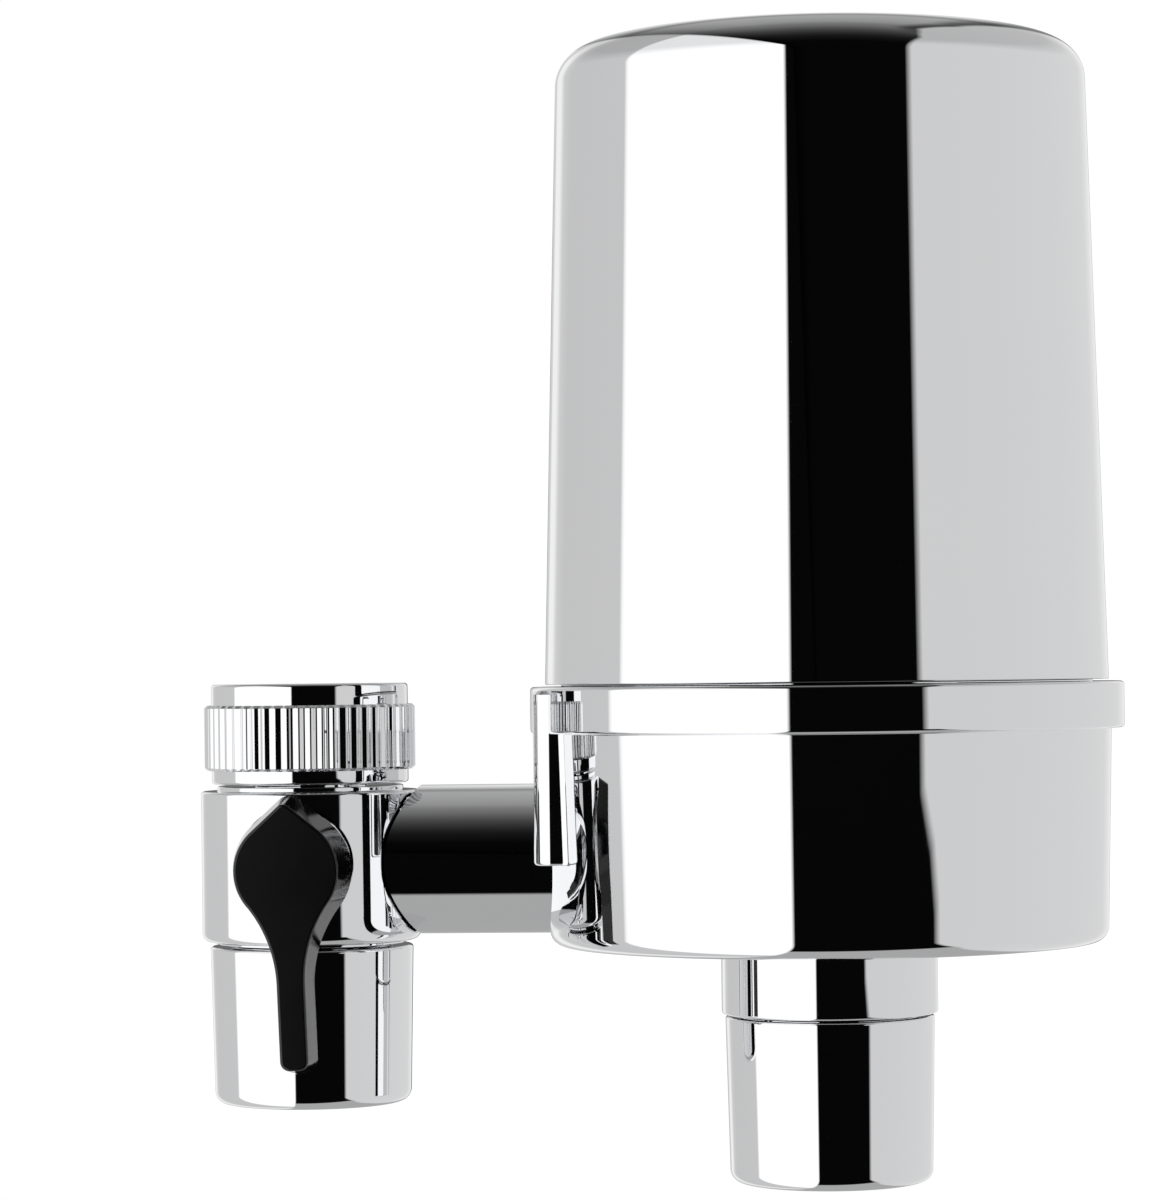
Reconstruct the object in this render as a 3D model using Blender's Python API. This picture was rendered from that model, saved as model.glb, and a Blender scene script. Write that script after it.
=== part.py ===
"""Faucet mount water filter: a diverter valve that hangs on a spout, an arm, and a cartridge housing.

The origin is on the valve's axis, at the top rim of the collar nut. +Z is up, +X runs along the arm to the
housing, and the lever is in front, at -Y. Lengths are in metres.
"""
import math

import bmesh
import bpy

MM = 0.001

# Clearances between pieces
GAP = 0.3 * MM
SEAL_GAP = 0.15 * MM

# Collar nut, and what it holds
SPOUT_THREAD_R = 11.0 * MM
NUT_WALL = 2.75 * MM
NUT_SHOULDER = 3.5 * MM
NUT_EDGE = 0.5 * MM
KNURL_STAND = 1.0 * MM
KNURL_DEPTH = 0.45 * MM
KNURL_CHAMFER = 0.4 * MM
KNURL_ABOVE = 2.9 * MM
KNURL_HEIGHT = 9.1 * MM
KNURL_BELOW = 1.9 * MM
KNURL_COUNT = 56
SLEEVE_FLANGE = 1.8 * MM
SLEEVE_TAIL_R = 7.7 * MM
SLEEVE_STEP = 1.0 * MM
SLEEVE_TAIL = 3.0 * MM
SLEEVE_BORE_R = 5.5 * MM
SCREEN_THICKNESS = 0.5 * MM
SCREEN_HOLE_R = 0.9 * MM
SCREEN_PITCH = 2.4 * MM
SPOUT_WASHER = 2.0 * MM
SPOUT_WASHER_BORE_R = 6.5 * MM

# Valve body
BODY_R = 15.3 * MM
BODY_HEIGHT = 21.0 * MM
BODY_TOP_EDGE = 0.4 * MM
BODY_BOTTOM_EDGE = 1.2 * MM
COLLAR_STEP = 2.3 * MM
UPPER_COLLAR = 0.7 * MM
LOWER_COLLAR = 0.4 * MM
ARM_DROP = 9.8 * MM
PORT_R = 4.4 * MM
SPIGOT_LENGTH = 6.7 * MM
SPIGOT_BORE_R = 7.6 * MM

# Spindle, its seals and its gland
PLUG_R = 6.2 * MM
PLUG_REAR = 8.0 * MM
PLUG_WAY_R = 3.4 * MM
STEM_R = 3.2 * MM
STEM_SQUARE = 4.4 * MM
STEM_REACH = 4.3 * MM
GROOVE_WIDTH = 1.9 * MM
GROOVE_DEPTH = 1.2 * MM
GROOVE_INSET = 2.0 * MM
GLAND_R = 7.7 * MM
GLAND_LENGTH = 4.9 * MM
GLAND_STAND = 0.4 * MM

# Lever
LEVER_TILT = math.radians(2.0)
LEVER_THICKNESS = 6.0 * MM
LEVER_FLARE = 1.0 * MM
LEVER_BEVEL = 0.4 * MM
LEVER_HEAD_R = 7.2 * MM
LEVER_HEAD_DROP = 0.6 * MM
LEVER_POINT = 2.3 * MM
LEVER_TIP_ROUND = 1.2 * MM
LEVER_NECK_R = 18.0 * MM
LEVER_STEM_HALF = 1.95 * MM
LEVER_LENGTH = 26.6 * MM
LEVER_END_ROUND = 1.3 * MM

# Tap outlet below the valve
TAP_R = 14.0 * MM
TAP_TAPER = 0.5 * MM
TAP_WALL = 2.8 * MM
TAP_HEIGHT = 21.2 * MM
TAP_LEDGE = 1.3 * MM
OUTLET_FILLET = 1.7 * MM
OUTLET_TOP_EDGE = 0.4 * MM
OUTLET_WASHER = 1.8 * MM
WASHER_SECTION = 3.4 * MM
INSERT_FLANGE = 2.3 * MM
INSERT_RECESS = 0.8 * MM
INSERT_WALL = 1.8 * MM
INSERT_FACE = 0.8 * MM
INSERT_HOLE_R = 0.95 * MM
INSERT_PITCH = 2.75 * MM

# Arm
ARM_R = 10.4 * MM
ARM_WALL = 1.0 * MM
ARM_TAIL_R = 6.6 * MM
ARM_TAIL = 8.0 * MM
ARM_SEAT = 2.8 * MM
SOCKET_DEPTH = 6.3 * MM
SOCKET_WALL = 3.4 * MM

# Housing base, placed from the arm
HOUSING_X = 72.5 * MM
HOUSING_RISE = 24.7 * MM
RING_R = 41.1 * MM
RING_WALL = 4.0 * MM
RING_HEIGHT = 6.35 * MM
RING_EDGE = 0.5 * MM
RING_SEAM = 0.8 * MM
CUP_STEP = 1.8 * MM
CUP_TAPER = 0.7 * MM
CUP_LEDGE = 1.7 * MM
CUP_FILLET = 2.1 * MM
CUP_FLOOR = 3.0 * MM
ARM_FLOOR = 1.5 * MM
BOSS_STAND = 0.2 * MM
BOSS_HALF_ANGLE = math.radians(19.0)
BOSS_CORNER = 3.5 * MM
BOSS_INSET = 0.5 * MM
BOSS_OVERHANG = 0.3 * MM
TOWER_WALL = 3.9 * MM
TOWER_DROP = 12.0 * MM
NECK_R = 15.0 * MM
NECK_DROP = 9.8 * MM
NECK_EDGE = 0.4 * MM
OUT_SPIGOT_LENGTH = 7.1 * MM
OUT_BORE_R = 7.6 * MM

# Outlet cap below the housing
OUT_CAP_STEP = 0.5 * MM
OUT_CAP_TAPER = 0.5 * MM
OUT_CAP_WALL = 2.0 * MM
OUT_CAP_HEIGHT = 23.0 * MM
OUT_CAP_LEDGE = 2.6 * MM

# Cover
COVER_STEP = 2.1 * MM
COVER_DRAFT = math.radians(1.5)
COVER_HEIGHT = 87.5 * MM
COVER_FILLET = 5.2 * MM
COVER_CROWN = 1.2 * MM
COVER_CEILING = 3.0 * MM
COVER_BORE_DRAFT = math.radians(0.25)
SKIRT_WALL = 2.3 * MM
SKIRT_LENGTH = 10.0 * MM
GASKET_HEIGHT = 1.4 * MM
GASKET_WIDTH = 1.3 * MM

# Cartridge
CARTRIDGE_SPACE = 1.5 * MM
CAGE_WALL = 1.6 * MM
CAGE_COLUMNS = 10
CAGE_ROWS = 3
CAGE_WINDOW_WIDTH = 12.0 * MM
CAGE_RIB = 4.0 * MM
CAP_WALL = 1.4 * MM
CAP_PLATE = 3.0 * MM
CAP_RIM = 4.0 * MM
CAP_HUB = 3.7 * MM
PIP_R = 6.0 * MM
PIP_HEIGHT = 2.5 * MM
PREFILTER_WALL = 2.5 * MM
PLEAT_DEPTH = 0.8 * MM
PLEAT_COUNT = 36
MEDIA_BORE_R = 7.0 * MM
NIPPLE_R = 10.0 * MM
NIPPLE_LENGTH = 15.3 * MM
NIPPLE_WALL = 2.3 * MM
NIPPLE_GROOVES = (4.0 * MM, 8.5 * MM)

# Facets round a full turn
HOUSING_STEPS = 36
VALVE_STEPS = 32
INNER_STEPS = 16
RING_SECTION_STEPS = 6
CARTRIDGE_STEPS = 20
HOLE_STEPS = 6

# Valve: radii and heights that follow from the sizes above
NUT_NECK_R = SPOUT_THREAD_R + NUT_WALL
KNURL_R = NUT_NECK_R + KNURL_STAND
SLEEVE_SHANK_R = SLEEVE_TAIL_R + SLEEVE_STEP
HELD_R = SPOUT_THREAD_R - GAP
NUT_BOTTOM = -KNURL_ABOVE - KNURL_HEIGHT - KNURL_BELOW
NUT_LEDGE = NUT_BOTTOM + NUT_SHOULDER
FLANGE_BOTTOM = NUT_LEDGE + GAP
FLANGE_TOP = FLANGE_BOTTOM + SLEEVE_FLANGE
SCREEN_BOTTOM = FLANGE_TOP + GAP
SCREEN_TOP = SCREEN_BOTTOM + SCREEN_THICKNESS
WASHER_BOTTOM = SCREEN_TOP + GAP
COLLAR_R = BODY_R - COLLAR_STEP
COLLAR_TOP = NUT_BOTTOM - GAP
BODY_TOP = COLLAR_TOP - UPPER_COLLAR
BODY_BOTTOM = BODY_TOP - BODY_HEIGHT
COLLAR_BOTTOM = BODY_BOTTOM - LOWER_COLLAR
SLEEVE_STOP = COLLAR_TOP + GAP
SLEEVE_END = SLEEVE_STOP - SLEEVE_TAIL
SPIGOT_R = TAP_R - TAP_WALL - GAP
SPIGOT_END = COLLAR_BOTTOM - SPIGOT_LENGTH
TAP_TOP = COLLAR_BOTTOM - GAP
ARM_Z = BODY_TOP - ARM_DROP

# Spindle and lever: distances in front of the valve's axis
PLUG_BORE_R = PLUG_R + GAP
GLAND_FRONT = BODY_R + GLAND_STAND
GLAND_BACK = GLAND_FRONT - GLAND_LENGTH
PLUG_FRONT = GLAND_BACK - GAP
FRONT_GROOVE = PLUG_FRONT - GROOVE_INSET
REAR_GROOVE = GROOVE_INSET - PLUG_REAR
STEM_END = GLAND_FRONT + STEM_REACH
LEVER_BACK = GLAND_FRONT + GAP
LEVER_FRONT = LEVER_BACK + LEVER_THICKNESS

# Housing: radii from the ring, and heights from the cover's rim
SKIRT_R = RING_R - RING_WALL - GAP
CUP_R = RING_R - CUP_STEP
CUP_BOTTOM_R = CUP_R - CUP_TAPER
CUP_BORE_R = SKIRT_R + GAP - CUP_LEDGE
BOSS_R = RING_R + BOSS_STAND
COVER_RIM_R = RING_R - COVER_STEP
COVER_BORE_R = SKIRT_R - SKIRT_WALL
OUT_SPIGOT_R = NECK_R - OUT_CAP_STEP - OUT_CAP_WALL - GAP
TOWER_R = NIPPLE_R + GAP + TOWER_WALL
RIM_Z = ARM_Z + HOUSING_RISE
RING_TOP = -RING_SEAM
RING_BOTTOM = RING_TOP - RING_HEIGHT
CUP_BOTTOM = -HOUSING_RISE - ARM_R - ARM_FLOOR
LEDGE_TOP = -SKIRT_LENGTH - GASKET_HEIGHT - 2 * SEAL_GAP
NECK_BOTTOM = CUP_BOTTOM - NECK_DROP
OUT_SPIGOT_END = NECK_BOTTOM - OUT_SPIGOT_LENGTH
CEILING = COVER_HEIGHT - COVER_CEILING
COVER_BORE_TOP_R = COVER_BORE_R - (CEILING + SKIRT_LENGTH) * math.tan(COVER_BORE_DRAFT)
CAP_RIM_R = COVER_BORE_TOP_R - CARTRIDGE_SPACE
CAGE_R = CAP_RIM_R - CAP_WALL - GAP
HUB_BOTTOM = -TOWER_DROP + GAP
CAP_BOTTOM = HUB_BOTTOM + CAP_HUB
MEDIA_BOTTOM = CAP_BOTTOM + CAP_PLATE + GAP
CAP_TOP = CEILING - GAP - PIP_HEIGHT
MEDIA_TOP = CAP_TOP - CAP_PLATE - GAP
NIPPLE_END = HUB_BOTTOM - NIPPLE_LENGTH
NIPPLE_BORE_R = NIPPLE_R - GROOVE_DEPTH - NIPPLE_WALL

# Arm: distances along it from the valve's axis
ARM_SOCKET_X = BODY_R - SOCKET_DEPTH
ARM_START = ARM_SOCKET_X + GAP
ARM_BORE_R = ARM_TAIL_R - GROOVE_DEPTH - ARM_WALL
ARM_STEP_X = HOUSING_X - CUP_R + ARM_SEAT
ARM_SHOULDER = ARM_STEP_X - GAP
ARM_END = ARM_SHOULDER + ARM_TAIL
SOCKET_FLOOR_X = ARM_END + GAP


def clear_scene():
    for old in list(bpy.data.objects):
        bpy.data.objects.remove(old, do_unlink=True)


def make_material(name, colour, roughness, metallic):
    made = bpy.data.materials.new(name)
    made.use_nodes = True
    shader = made.node_tree.nodes["Principled BSDF"]
    shader.inputs["Base Color"].default_value = (*colour, 1.0)
    shader.inputs["Roughness"].default_value = roughness
    shader.inputs["Metallic"].default_value = metallic
    return made


def make_axis(name, location, rotation=(0.0, 0.0, 0.0)):
    """An empty whose local Z is the axis that a group of pieces is turned about."""
    axis = bpy.data.objects.new(name, None)
    axis.location = location
    axis.rotation_euler = rotation
    bpy.context.collection.objects.link(axis)
    return axis


def place(name, mesh_data, axis, material=None):
    """Put a bmesh into the scene as an object on an axis. With no material it is a cutter."""
    bmesh.ops.recalc_face_normals(mesh_data, faces=mesh_data.faces)
    mesh = bpy.data.meshes.new(name)
    mesh_data.to_mesh(mesh)
    mesh_data.free()
    mesh.shade_smooth()
    mesh.set_sharp_from_angle(angle=math.radians(35))
    made = bpy.data.objects.new(name, mesh)
    made.parent = axis
    bpy.context.collection.objects.link(made)
    if material is None:
        made.hide_render = True
        made.display_type = "WIRE"
    else:
        mesh.materials.append(material)
    return made


def combine(target, tool, operation="DIFFERENCE"):
    """Cut a tool from a piece, or fuse it on."""
    modifier = target.modifiers.new(tool.name, "BOOLEAN")
    modifier.operation = operation
    modifier.object = tool
    modifier.solver = "EXACT"


def arc(centre_r, centre_z, radius, start, end, steps):
    """Points of a circular arc in a profile, with angles in degrees from +R towards +Z."""
    angles = [math.radians(start + (end - start) * i / steps) for i in range(steps + 1)]
    return [(centre_r + radius * math.cos(a), centre_z + radius * math.sin(a)) for a in angles]


def turned(name, profile, steps, axis, material=None):
    """Spin a closed profile of (radius, height) points about the axis' local Z."""
    work = bmesh.new()
    verts = [work.verts.new((r, 0.0, z)) for r, z in profile]
    on_axis = profile[0][0] == 0.0 and profile[-1][0] == 0.0
    pairs = list(zip(verts, verts[1:]))
    if not on_axis:
        pairs.append((verts[-1], verts[0]))
    edges = [work.edges.new(pair) for pair in pairs]
    bmesh.ops.spin(
        work, geom=verts + edges, axis=(0, 0, 1), cent=(0, 0, 0), angle=math.tau, steps=steps,
        use_merge=True,
    )
    bmesh.ops.remove_doubles(work, verts=work.verts, dist=0.001 * MM)
    return place(name, work, axis, material)


def tube(name, outer, inner, bottom, top, steps, axis, material=None):
    profile = [(outer, top), (outer, bottom), (inner, bottom), (inner, top)]
    return turned(name, profile, steps, axis, material)


def rod(name, radius, bottom, top, steps, axis, material=None):
    profile = [(0.0, top), (radius, top), (radius, bottom), (0.0, bottom)]
    return turned(name, profile, steps, axis, material)


def stepped_bore(name, start, sections, steps, axis):
    """Cutter for a bore in steps, with a (radius, end) pair for each section along the axis."""
    profile = [(0.0, start)]
    reached = start
    for radius, end in sections:
        profile += [(radius, reached), (radius, end)]
        reached = end
    profile.append((0.0, reached))
    return turned(name, profile, steps, axis)


def lofted(name, rings, axis, material=None):
    """Join outlines that have the same number of points, each a (points, height) pair, into one solid."""
    work = bmesh.new()
    loops = [[work.verts.new((x, y, height)) for x, y in points] for points, height in rings]
    for lower, upper in zip(loops, loops[1:]):
        for i in range(len(lower)):
            j = (i + 1) % len(lower)
            work.faces.new((lower[i], lower[j], upper[j], upper[i]))
    work.faces.new(loops[0])
    work.faces.new(loops[-1])
    return place(name, work, axis, material)


def oring(name, bore_r, floor_r, height, steps, axis, material):
    """A ring between a bore and a groove's floor, with as many facets as its groove."""
    middle = (bore_r + floor_r) / 2
    section = (bore_r - floor_r) / 2 - SEAL_GAP
    profile = arc(middle, height, section, 0, 360, RING_SECTION_STEPS)[:-1]
    return turned(name, profile, steps, axis, material)


def groove(radius, height):
    """The profile points of a seal's groove, from its upper edge to its lower edge."""
    floor = radius - GROOVE_DEPTH
    upper = height + GROOVE_WIDTH / 2
    lower = height - GROOVE_WIDTH / 2
    return [(radius, upper), (floor, upper), (floor, lower), (radius, lower)]


def hole_cutter(name, hole_r, rows, pitch, bottom, top, axis):
    """Round holes on rings about a middle hole, as one cutter of separate rods."""
    work = bmesh.new()
    spots = [(0.0, 0.0)]
    for row in range(1, rows + 1):
        count = 6 * row
        for i in range(count):
            angle = math.tau * i / count
            spots.append((row * pitch * math.cos(angle), row * pitch * math.sin(angle)))
    for x, y in spots:
        turns = [math.tau * k / HOLE_STEPS for k in range(HOLE_STEPS)]
        ring = [(x + hole_r * math.cos(turn), y + hole_r * math.sin(turn)) for turn in turns]
        low = [work.verts.new((a, b, bottom)) for a, b in ring]
        high = [work.verts.new((a, b, top)) for a, b in ring]
        for k in range(HOLE_STEPS):
            m = (k + 1) % HOLE_STEPS
            work.faces.new((low[k], low[m], high[m], high[k]))
        work.faces.new(low)
        work.faces.new(high)
    return place(name, work, axis)


def knurl_outline(crest_r):
    """Plan of the knurled band: crests and valleys in turn."""
    points = []
    for i in range(2 * KNURL_COUNT):
        radius = crest_r - (i % 2) * KNURL_DEPTH
        angle = math.pi * i / KNURL_COUNT
        points.append((radius * math.cos(angle), radius * math.sin(angle)))
    return points


def collar_nut(axis, material):
    """Turned nut with an inward ledge, and a knurled band fused round it."""
    bore = SLEEVE_SHANK_R + GAP
    profile = [
        (SPOUT_THREAD_R, 0.0),
        (NUT_NECK_R - NUT_EDGE, 0.0),
        (NUT_NECK_R, -NUT_EDGE),
        (NUT_NECK_R, NUT_BOTTOM + NUT_EDGE),
        (NUT_NECK_R - NUT_EDGE, NUT_BOTTOM),
        (bore, NUT_BOTTOM),
        (bore, NUT_LEDGE),
        (SPOUT_THREAD_R, NUT_LEDGE),
    ]
    nut = turned("collar_nut", profile, VALVE_STEPS, axis, material)
    top = -KNURL_ABOVE
    bottom = top - KNURL_HEIGHT
    ends = knurl_outline(KNURL_R - KNURL_CHAMFER)
    teeth = knurl_outline(KNURL_R)
    band = lofted(
        "knurl_band",
        [(ends, bottom), (teeth, bottom + KNURL_CHAMFER), (teeth, top - KNURL_CHAMFER), (ends, top)],
        axis,
    )
    mid_wall = SPOUT_THREAD_R + NUT_WALL / 2
    combine(band, rod("band_core", mid_wall, bottom - GAP, top + GAP, VALVE_STEPS, axis))
    combine(nut, band, "UNION")
    return nut


def inlet_sleeve(axis, material):
    """Flanged sleeve that the nut pulls down on, with its tail screwed into the valve body."""
    profile = [
        (SLEEVE_BORE_R, FLANGE_TOP),
        (HELD_R, FLANGE_TOP),
        (HELD_R, FLANGE_BOTTOM),
        (SLEEVE_SHANK_R, FLANGE_BOTTOM),
        (SLEEVE_SHANK_R, SLEEVE_STOP),
        (SLEEVE_TAIL_R, SLEEVE_STOP),
        (SLEEVE_TAIL_R, SLEEVE_END),
        (SLEEVE_BORE_R, SLEEVE_END),
    ]
    return turned("inlet_sleeve", profile, INNER_STEPS, axis, material)


def inlet_screen(axis, material):
    screen = rod("inlet_screen", HELD_R, SCREEN_BOTTOM, SCREEN_TOP, INNER_STEPS, axis, material)
    holes = hole_cutter(
        "screen_holes", SCREEN_HOLE_R, 2, SCREEN_PITCH, SCREEN_BOTTOM - GAP, SCREEN_TOP + GAP, axis
    )
    combine(screen, holes)
    return screen


def valve_body(valve_axis, arm_axis, lever_axis, material):
    """Body with the sleeve's socket on top, a spigot below, and bores for the spindle and the arm."""
    socket_r = SLEEVE_TAIL_R + GAP
    socket_floor = SLEEVE_END - GAP
    edge = BODY_BOTTOM_EDGE
    profile = [
        (socket_r, COLLAR_TOP),
        (COLLAR_R, COLLAR_TOP),
        (COLLAR_R, BODY_TOP),
        (BODY_R - BODY_TOP_EDGE, BODY_TOP),
        (BODY_R, BODY_TOP - BODY_TOP_EDGE),
        *arc(BODY_R - edge, BODY_BOTTOM + edge, edge, 0, -90, 3),
        (COLLAR_R, BODY_BOTTOM),
        (COLLAR_R, COLLAR_BOTTOM),
        (SPIGOT_R, COLLAR_BOTTOM),
        (SPIGOT_R, SPIGOT_END),
        (SPIGOT_BORE_R, SPIGOT_END),
        (SPIGOT_BORE_R, COLLAR_BOTTOM),
        (PORT_R, COLLAR_BOTTOM),
        (PORT_R, socket_floor),
        (socket_r, socket_floor),
    ]
    body = turned("valve_body", profile, VALVE_STEPS, valve_axis, material)
    spindle_bore = [(PLUG_BORE_R, PLUG_FRONT), (GLAND_R + GAP, GLAND_FRONT)]
    combine(body, stepped_bore("spindle_bore", -PLUG_REAR - GAP, spindle_bore, INNER_STEPS, lever_axis))
    arm_socket = [(PORT_R, ARM_SOCKET_X), (ARM_TAIL_R + GAP, BODY_R + GAP)]
    combine(body, stepped_bore("valve_arm_socket", PORT_R / 2, arm_socket, INNER_STEPS, arm_axis))
    return body


def spindle(axis, arm_axis, valve_axis, material):
    """Diverting plug with two seal grooves, a tee-shaped water way, a round stem and a square end."""
    profile = [
        (0.0, GLAND_FRONT),
        (STEM_R, GLAND_FRONT),
        (STEM_R, PLUG_FRONT),
        (PLUG_R, PLUG_FRONT),
        *groove(PLUG_R, FRONT_GROOVE),
        *groove(PLUG_R, REAR_GROOVE),
        (PLUG_R, -PLUG_REAR),
        (0.0, -PLUG_REAR),
    ]
    plug = turned("spindle", profile, INNER_STEPS, axis, material)
    half = STEM_SQUARE / 2
    corners = [(half, half), (-half, half), (-half, -half), (half, -half)]
    square = lofted("stem_square", [(corners, GLAND_FRONT - GAP), (corners, STEM_END)], axis)
    combine(plug, square, "UNION")
    cross_way = rod("cross_way", PLUG_WAY_R, -PLUG_R - GAP, PLUG_R + GAP, 12, arm_axis)
    combine(plug, cross_way)
    top_way = rod("top_way", PLUG_WAY_R, ARM_Z, ARM_Z + PLUG_R + GAP, 12, valve_axis)
    combine(plug, top_way)
    return plug


def spindle_gland(axis, material):
    return tube(
        "spindle_gland", GLAND_R, STEM_R + GAP, GLAND_BACK, GLAND_FRONT, INNER_STEPS, axis, material
    )


def lever_outline(grow):
    """The teardrop head and its stem, offset outwards by grow, anticlockwise from the tip."""
    head_r = LEVER_HEAD_R + grow
    head_y = -LEVER_HEAD_DROP
    neck_r = LEVER_NECK_R - grow
    stem = LEVER_STEM_HALF + grow
    slope = math.acos(LEVER_HEAD_R / (LEVER_HEAD_R + LEVER_POINT))
    tip_r = LEVER_TIP_ROUND + grow
    tip_y = head_y + (LEVER_HEAD_R - LEVER_TIP_ROUND) / math.cos(slope)
    neck_x = LEVER_STEM_HALF + LEVER_NECK_R
    reach = LEVER_HEAD_R + LEVER_NECK_R
    neck_y = head_y - math.sqrt(reach ** 2 - neck_x ** 2)
    join = math.asin(neck_x / reach)
    end_r = min(LEVER_END_ROUND + grow, stem)
    end_y = -LEVER_LENGTH - grow + end_r
    right = [(tip_r * math.sin(slope * i / 2), tip_y + tip_r * math.cos(slope * i / 2)) for i in range(3)]
    for i in range(1, 11):
        angle = slope + (math.pi - join - slope) * i / 10
        right.append((head_r * math.sin(angle), head_y + head_r * math.cos(angle)))
    for i in range(1, 6):
        angle = join + (math.pi / 2 - join) * i / 5
        right.append((neck_x - neck_r * math.sin(angle), neck_y + neck_r * math.cos(angle)))
    for i in range(4):
        angle = math.pi / 2 * i / 3
        right.append((stem - end_r + end_r * math.cos(angle), end_y - end_r * math.sin(angle)))
    left = [(-x, y) for x, y in reversed(right[1:])]
    return left + right


def lever(axis, material):
    """Teardrop lever, flared towards its back, with a square socket for the spindle."""
    rings = [
        (lever_outline(LEVER_FLARE), LEVER_BACK),
        (lever_outline(0.0), LEVER_FRONT - LEVER_BEVEL),
        (lever_outline(-LEVER_BEVEL), LEVER_FRONT),
    ]
    handle = lofted("lever", rings, axis, material)
    half = STEM_SQUARE / 2 + GAP
    corners = [(half, half), (-half, half), (-half, -half), (half, -half)]
    socket = lofted("lever_socket", [(corners, LEVER_BACK - GAP), (corners, STEM_END + GAP)], axis)
    combine(handle, socket)
    return handle


def outlet_shell(name, top, bottom, top_r, taper, thread_r, mouth_r, ledge, axis, material):
    """A tapered cup that screws up onto a spigot and traps a washer and an insert on its ledge."""
    profile = [
        (thread_r, top),
        (top_r - OUTLET_TOP_EDGE, top),
        (top_r, top - OUTLET_TOP_EDGE),
        *arc(top_r - taper - OUTLET_FILLET, bottom + OUTLET_FILLET, OUTLET_FILLET, 0, -90, 4),
        (mouth_r, bottom),
        (mouth_r, ledge),
        (thread_r, ledge),
    ]
    return turned(name, profile, VALVE_STEPS, axis, material)


def outlet_insert(name, flange_r, mouth_r, ledge, bottom, axis, material):
    """A flanged cup with a perforated face, held between the washer and the ledge."""
    barrel = mouth_r - GAP
    face = bottom + INSERT_RECESS
    inner = barrel - INSERT_WALL
    profile = [
        (0.0, face + INSERT_FACE),
        (inner, face + INSERT_FACE),
        (inner, ledge + GAP + INSERT_FLANGE),
        (flange_r, ledge + GAP + INSERT_FLANGE),
        (flange_r, ledge + GAP),
        (barrel, ledge + GAP),
        (barrel, face),
        (0.0, face),
    ]
    insert = turned(name, profile, INNER_STEPS, axis, material)
    holes = hole_cutter(
        name + "_holes", INSERT_HOLE_R, 2, INSERT_PITCH, face - GAP, face + INSERT_FACE + GAP, axis
    )
    combine(insert, holes)
    return insert


def outlet_group(names, top, height, top_r, taper, spigot_r, spigot_end, ledge_width, axis, materials):
    """Shell, washer and insert below a spigot, stacked from the spigot's end down."""
    washer_top = spigot_end - GAP
    washer_bottom = washer_top - OUTLET_WASHER
    ledge = washer_bottom - GAP - INSERT_FLANGE - GAP
    bottom = top - height
    thread_r = spigot_r + GAP
    mouth_r = thread_r - ledge_width
    outlet_shell(names[0], top, bottom, top_r, taper, thread_r, mouth_r, ledge, axis, materials["chrome"])
    tube(
        names[1], spigot_r, spigot_r - WASHER_SECTION, washer_bottom, washer_top, INNER_STEPS, axis,
        materials["rubber"],
    )
    outlet_insert(names[2], spigot_r, mouth_r, ledge, bottom, axis, materials["white_plastic"])


def arm_tube(arm_axis, valve_axis, material):
    """Round arm, coped to the valve body, with a sealed tail at each end."""
    middle = (BODY_R + ARM_STEP_X) / 2
    arm = rod("arm_tube", ARM_R, ARM_START, ARM_SHOULDER, VALVE_STEPS, arm_axis, material)
    cope = rod("arm_cope", BODY_R + GAP, ARM_Z - 2 * ARM_R, ARM_Z + 2 * ARM_R, VALVE_STEPS, valve_axis)
    combine(arm, cope)
    tails = turned(
        "arm_tails",
        [
            (0.0, ARM_END),
            (ARM_TAIL_R, ARM_END),
            *groove(ARM_TAIL_R, ARM_END - GROOVE_INSET),
            (ARM_TAIL_R, middle),
            *groove(ARM_TAIL_R, ARM_START + GROOVE_INSET),
            (ARM_TAIL_R, ARM_START),
            (0.0, ARM_START),
        ],
        INNER_STEPS,
        arm_axis,
    )
    combine(arm, tails, "UNION")
    bore = rod("arm_bore", ARM_BORE_R, ARM_START - GAP, ARM_END + GAP, INNER_STEPS, arm_axis)
    combine(arm, bore)
    return arm


def boss_outline():
    """Plan of the saddle boss: an arc about the housing's axis with two rounded corners, on the -X side."""
    inner = SKIRT_R + GAP + BOSS_INSET
    centre_r = BOSS_R - BOSS_CORNER
    half = []
    for i in range(5):
        angle = BOSS_HALF_ANGLE * i / 4
        half.append((-BOSS_R * math.cos(angle), BOSS_R * math.sin(angle)))
    centre = (-centre_r * math.cos(BOSS_HALF_ANGLE), centre_r * math.sin(BOSS_HALF_ANGLE))
    for i in range(1, 5):
        angle = BOSS_HALF_ANGLE + math.pi / 2 * i / 4
        half.append((centre[0] - BOSS_CORNER * math.cos(angle), centre[1] + BOSS_CORNER * math.sin(angle)))
    end_angle = math.asin(half[-1][1] / inner)
    for i in range(5):
        angle = end_angle * (1 - i / 5)
        half.append((-inner * math.cos(angle), inner * math.sin(angle)))
    return half + [(-inner, 0.0)] + [(x, -y) for x, y in reversed(half[1:])]


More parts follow.
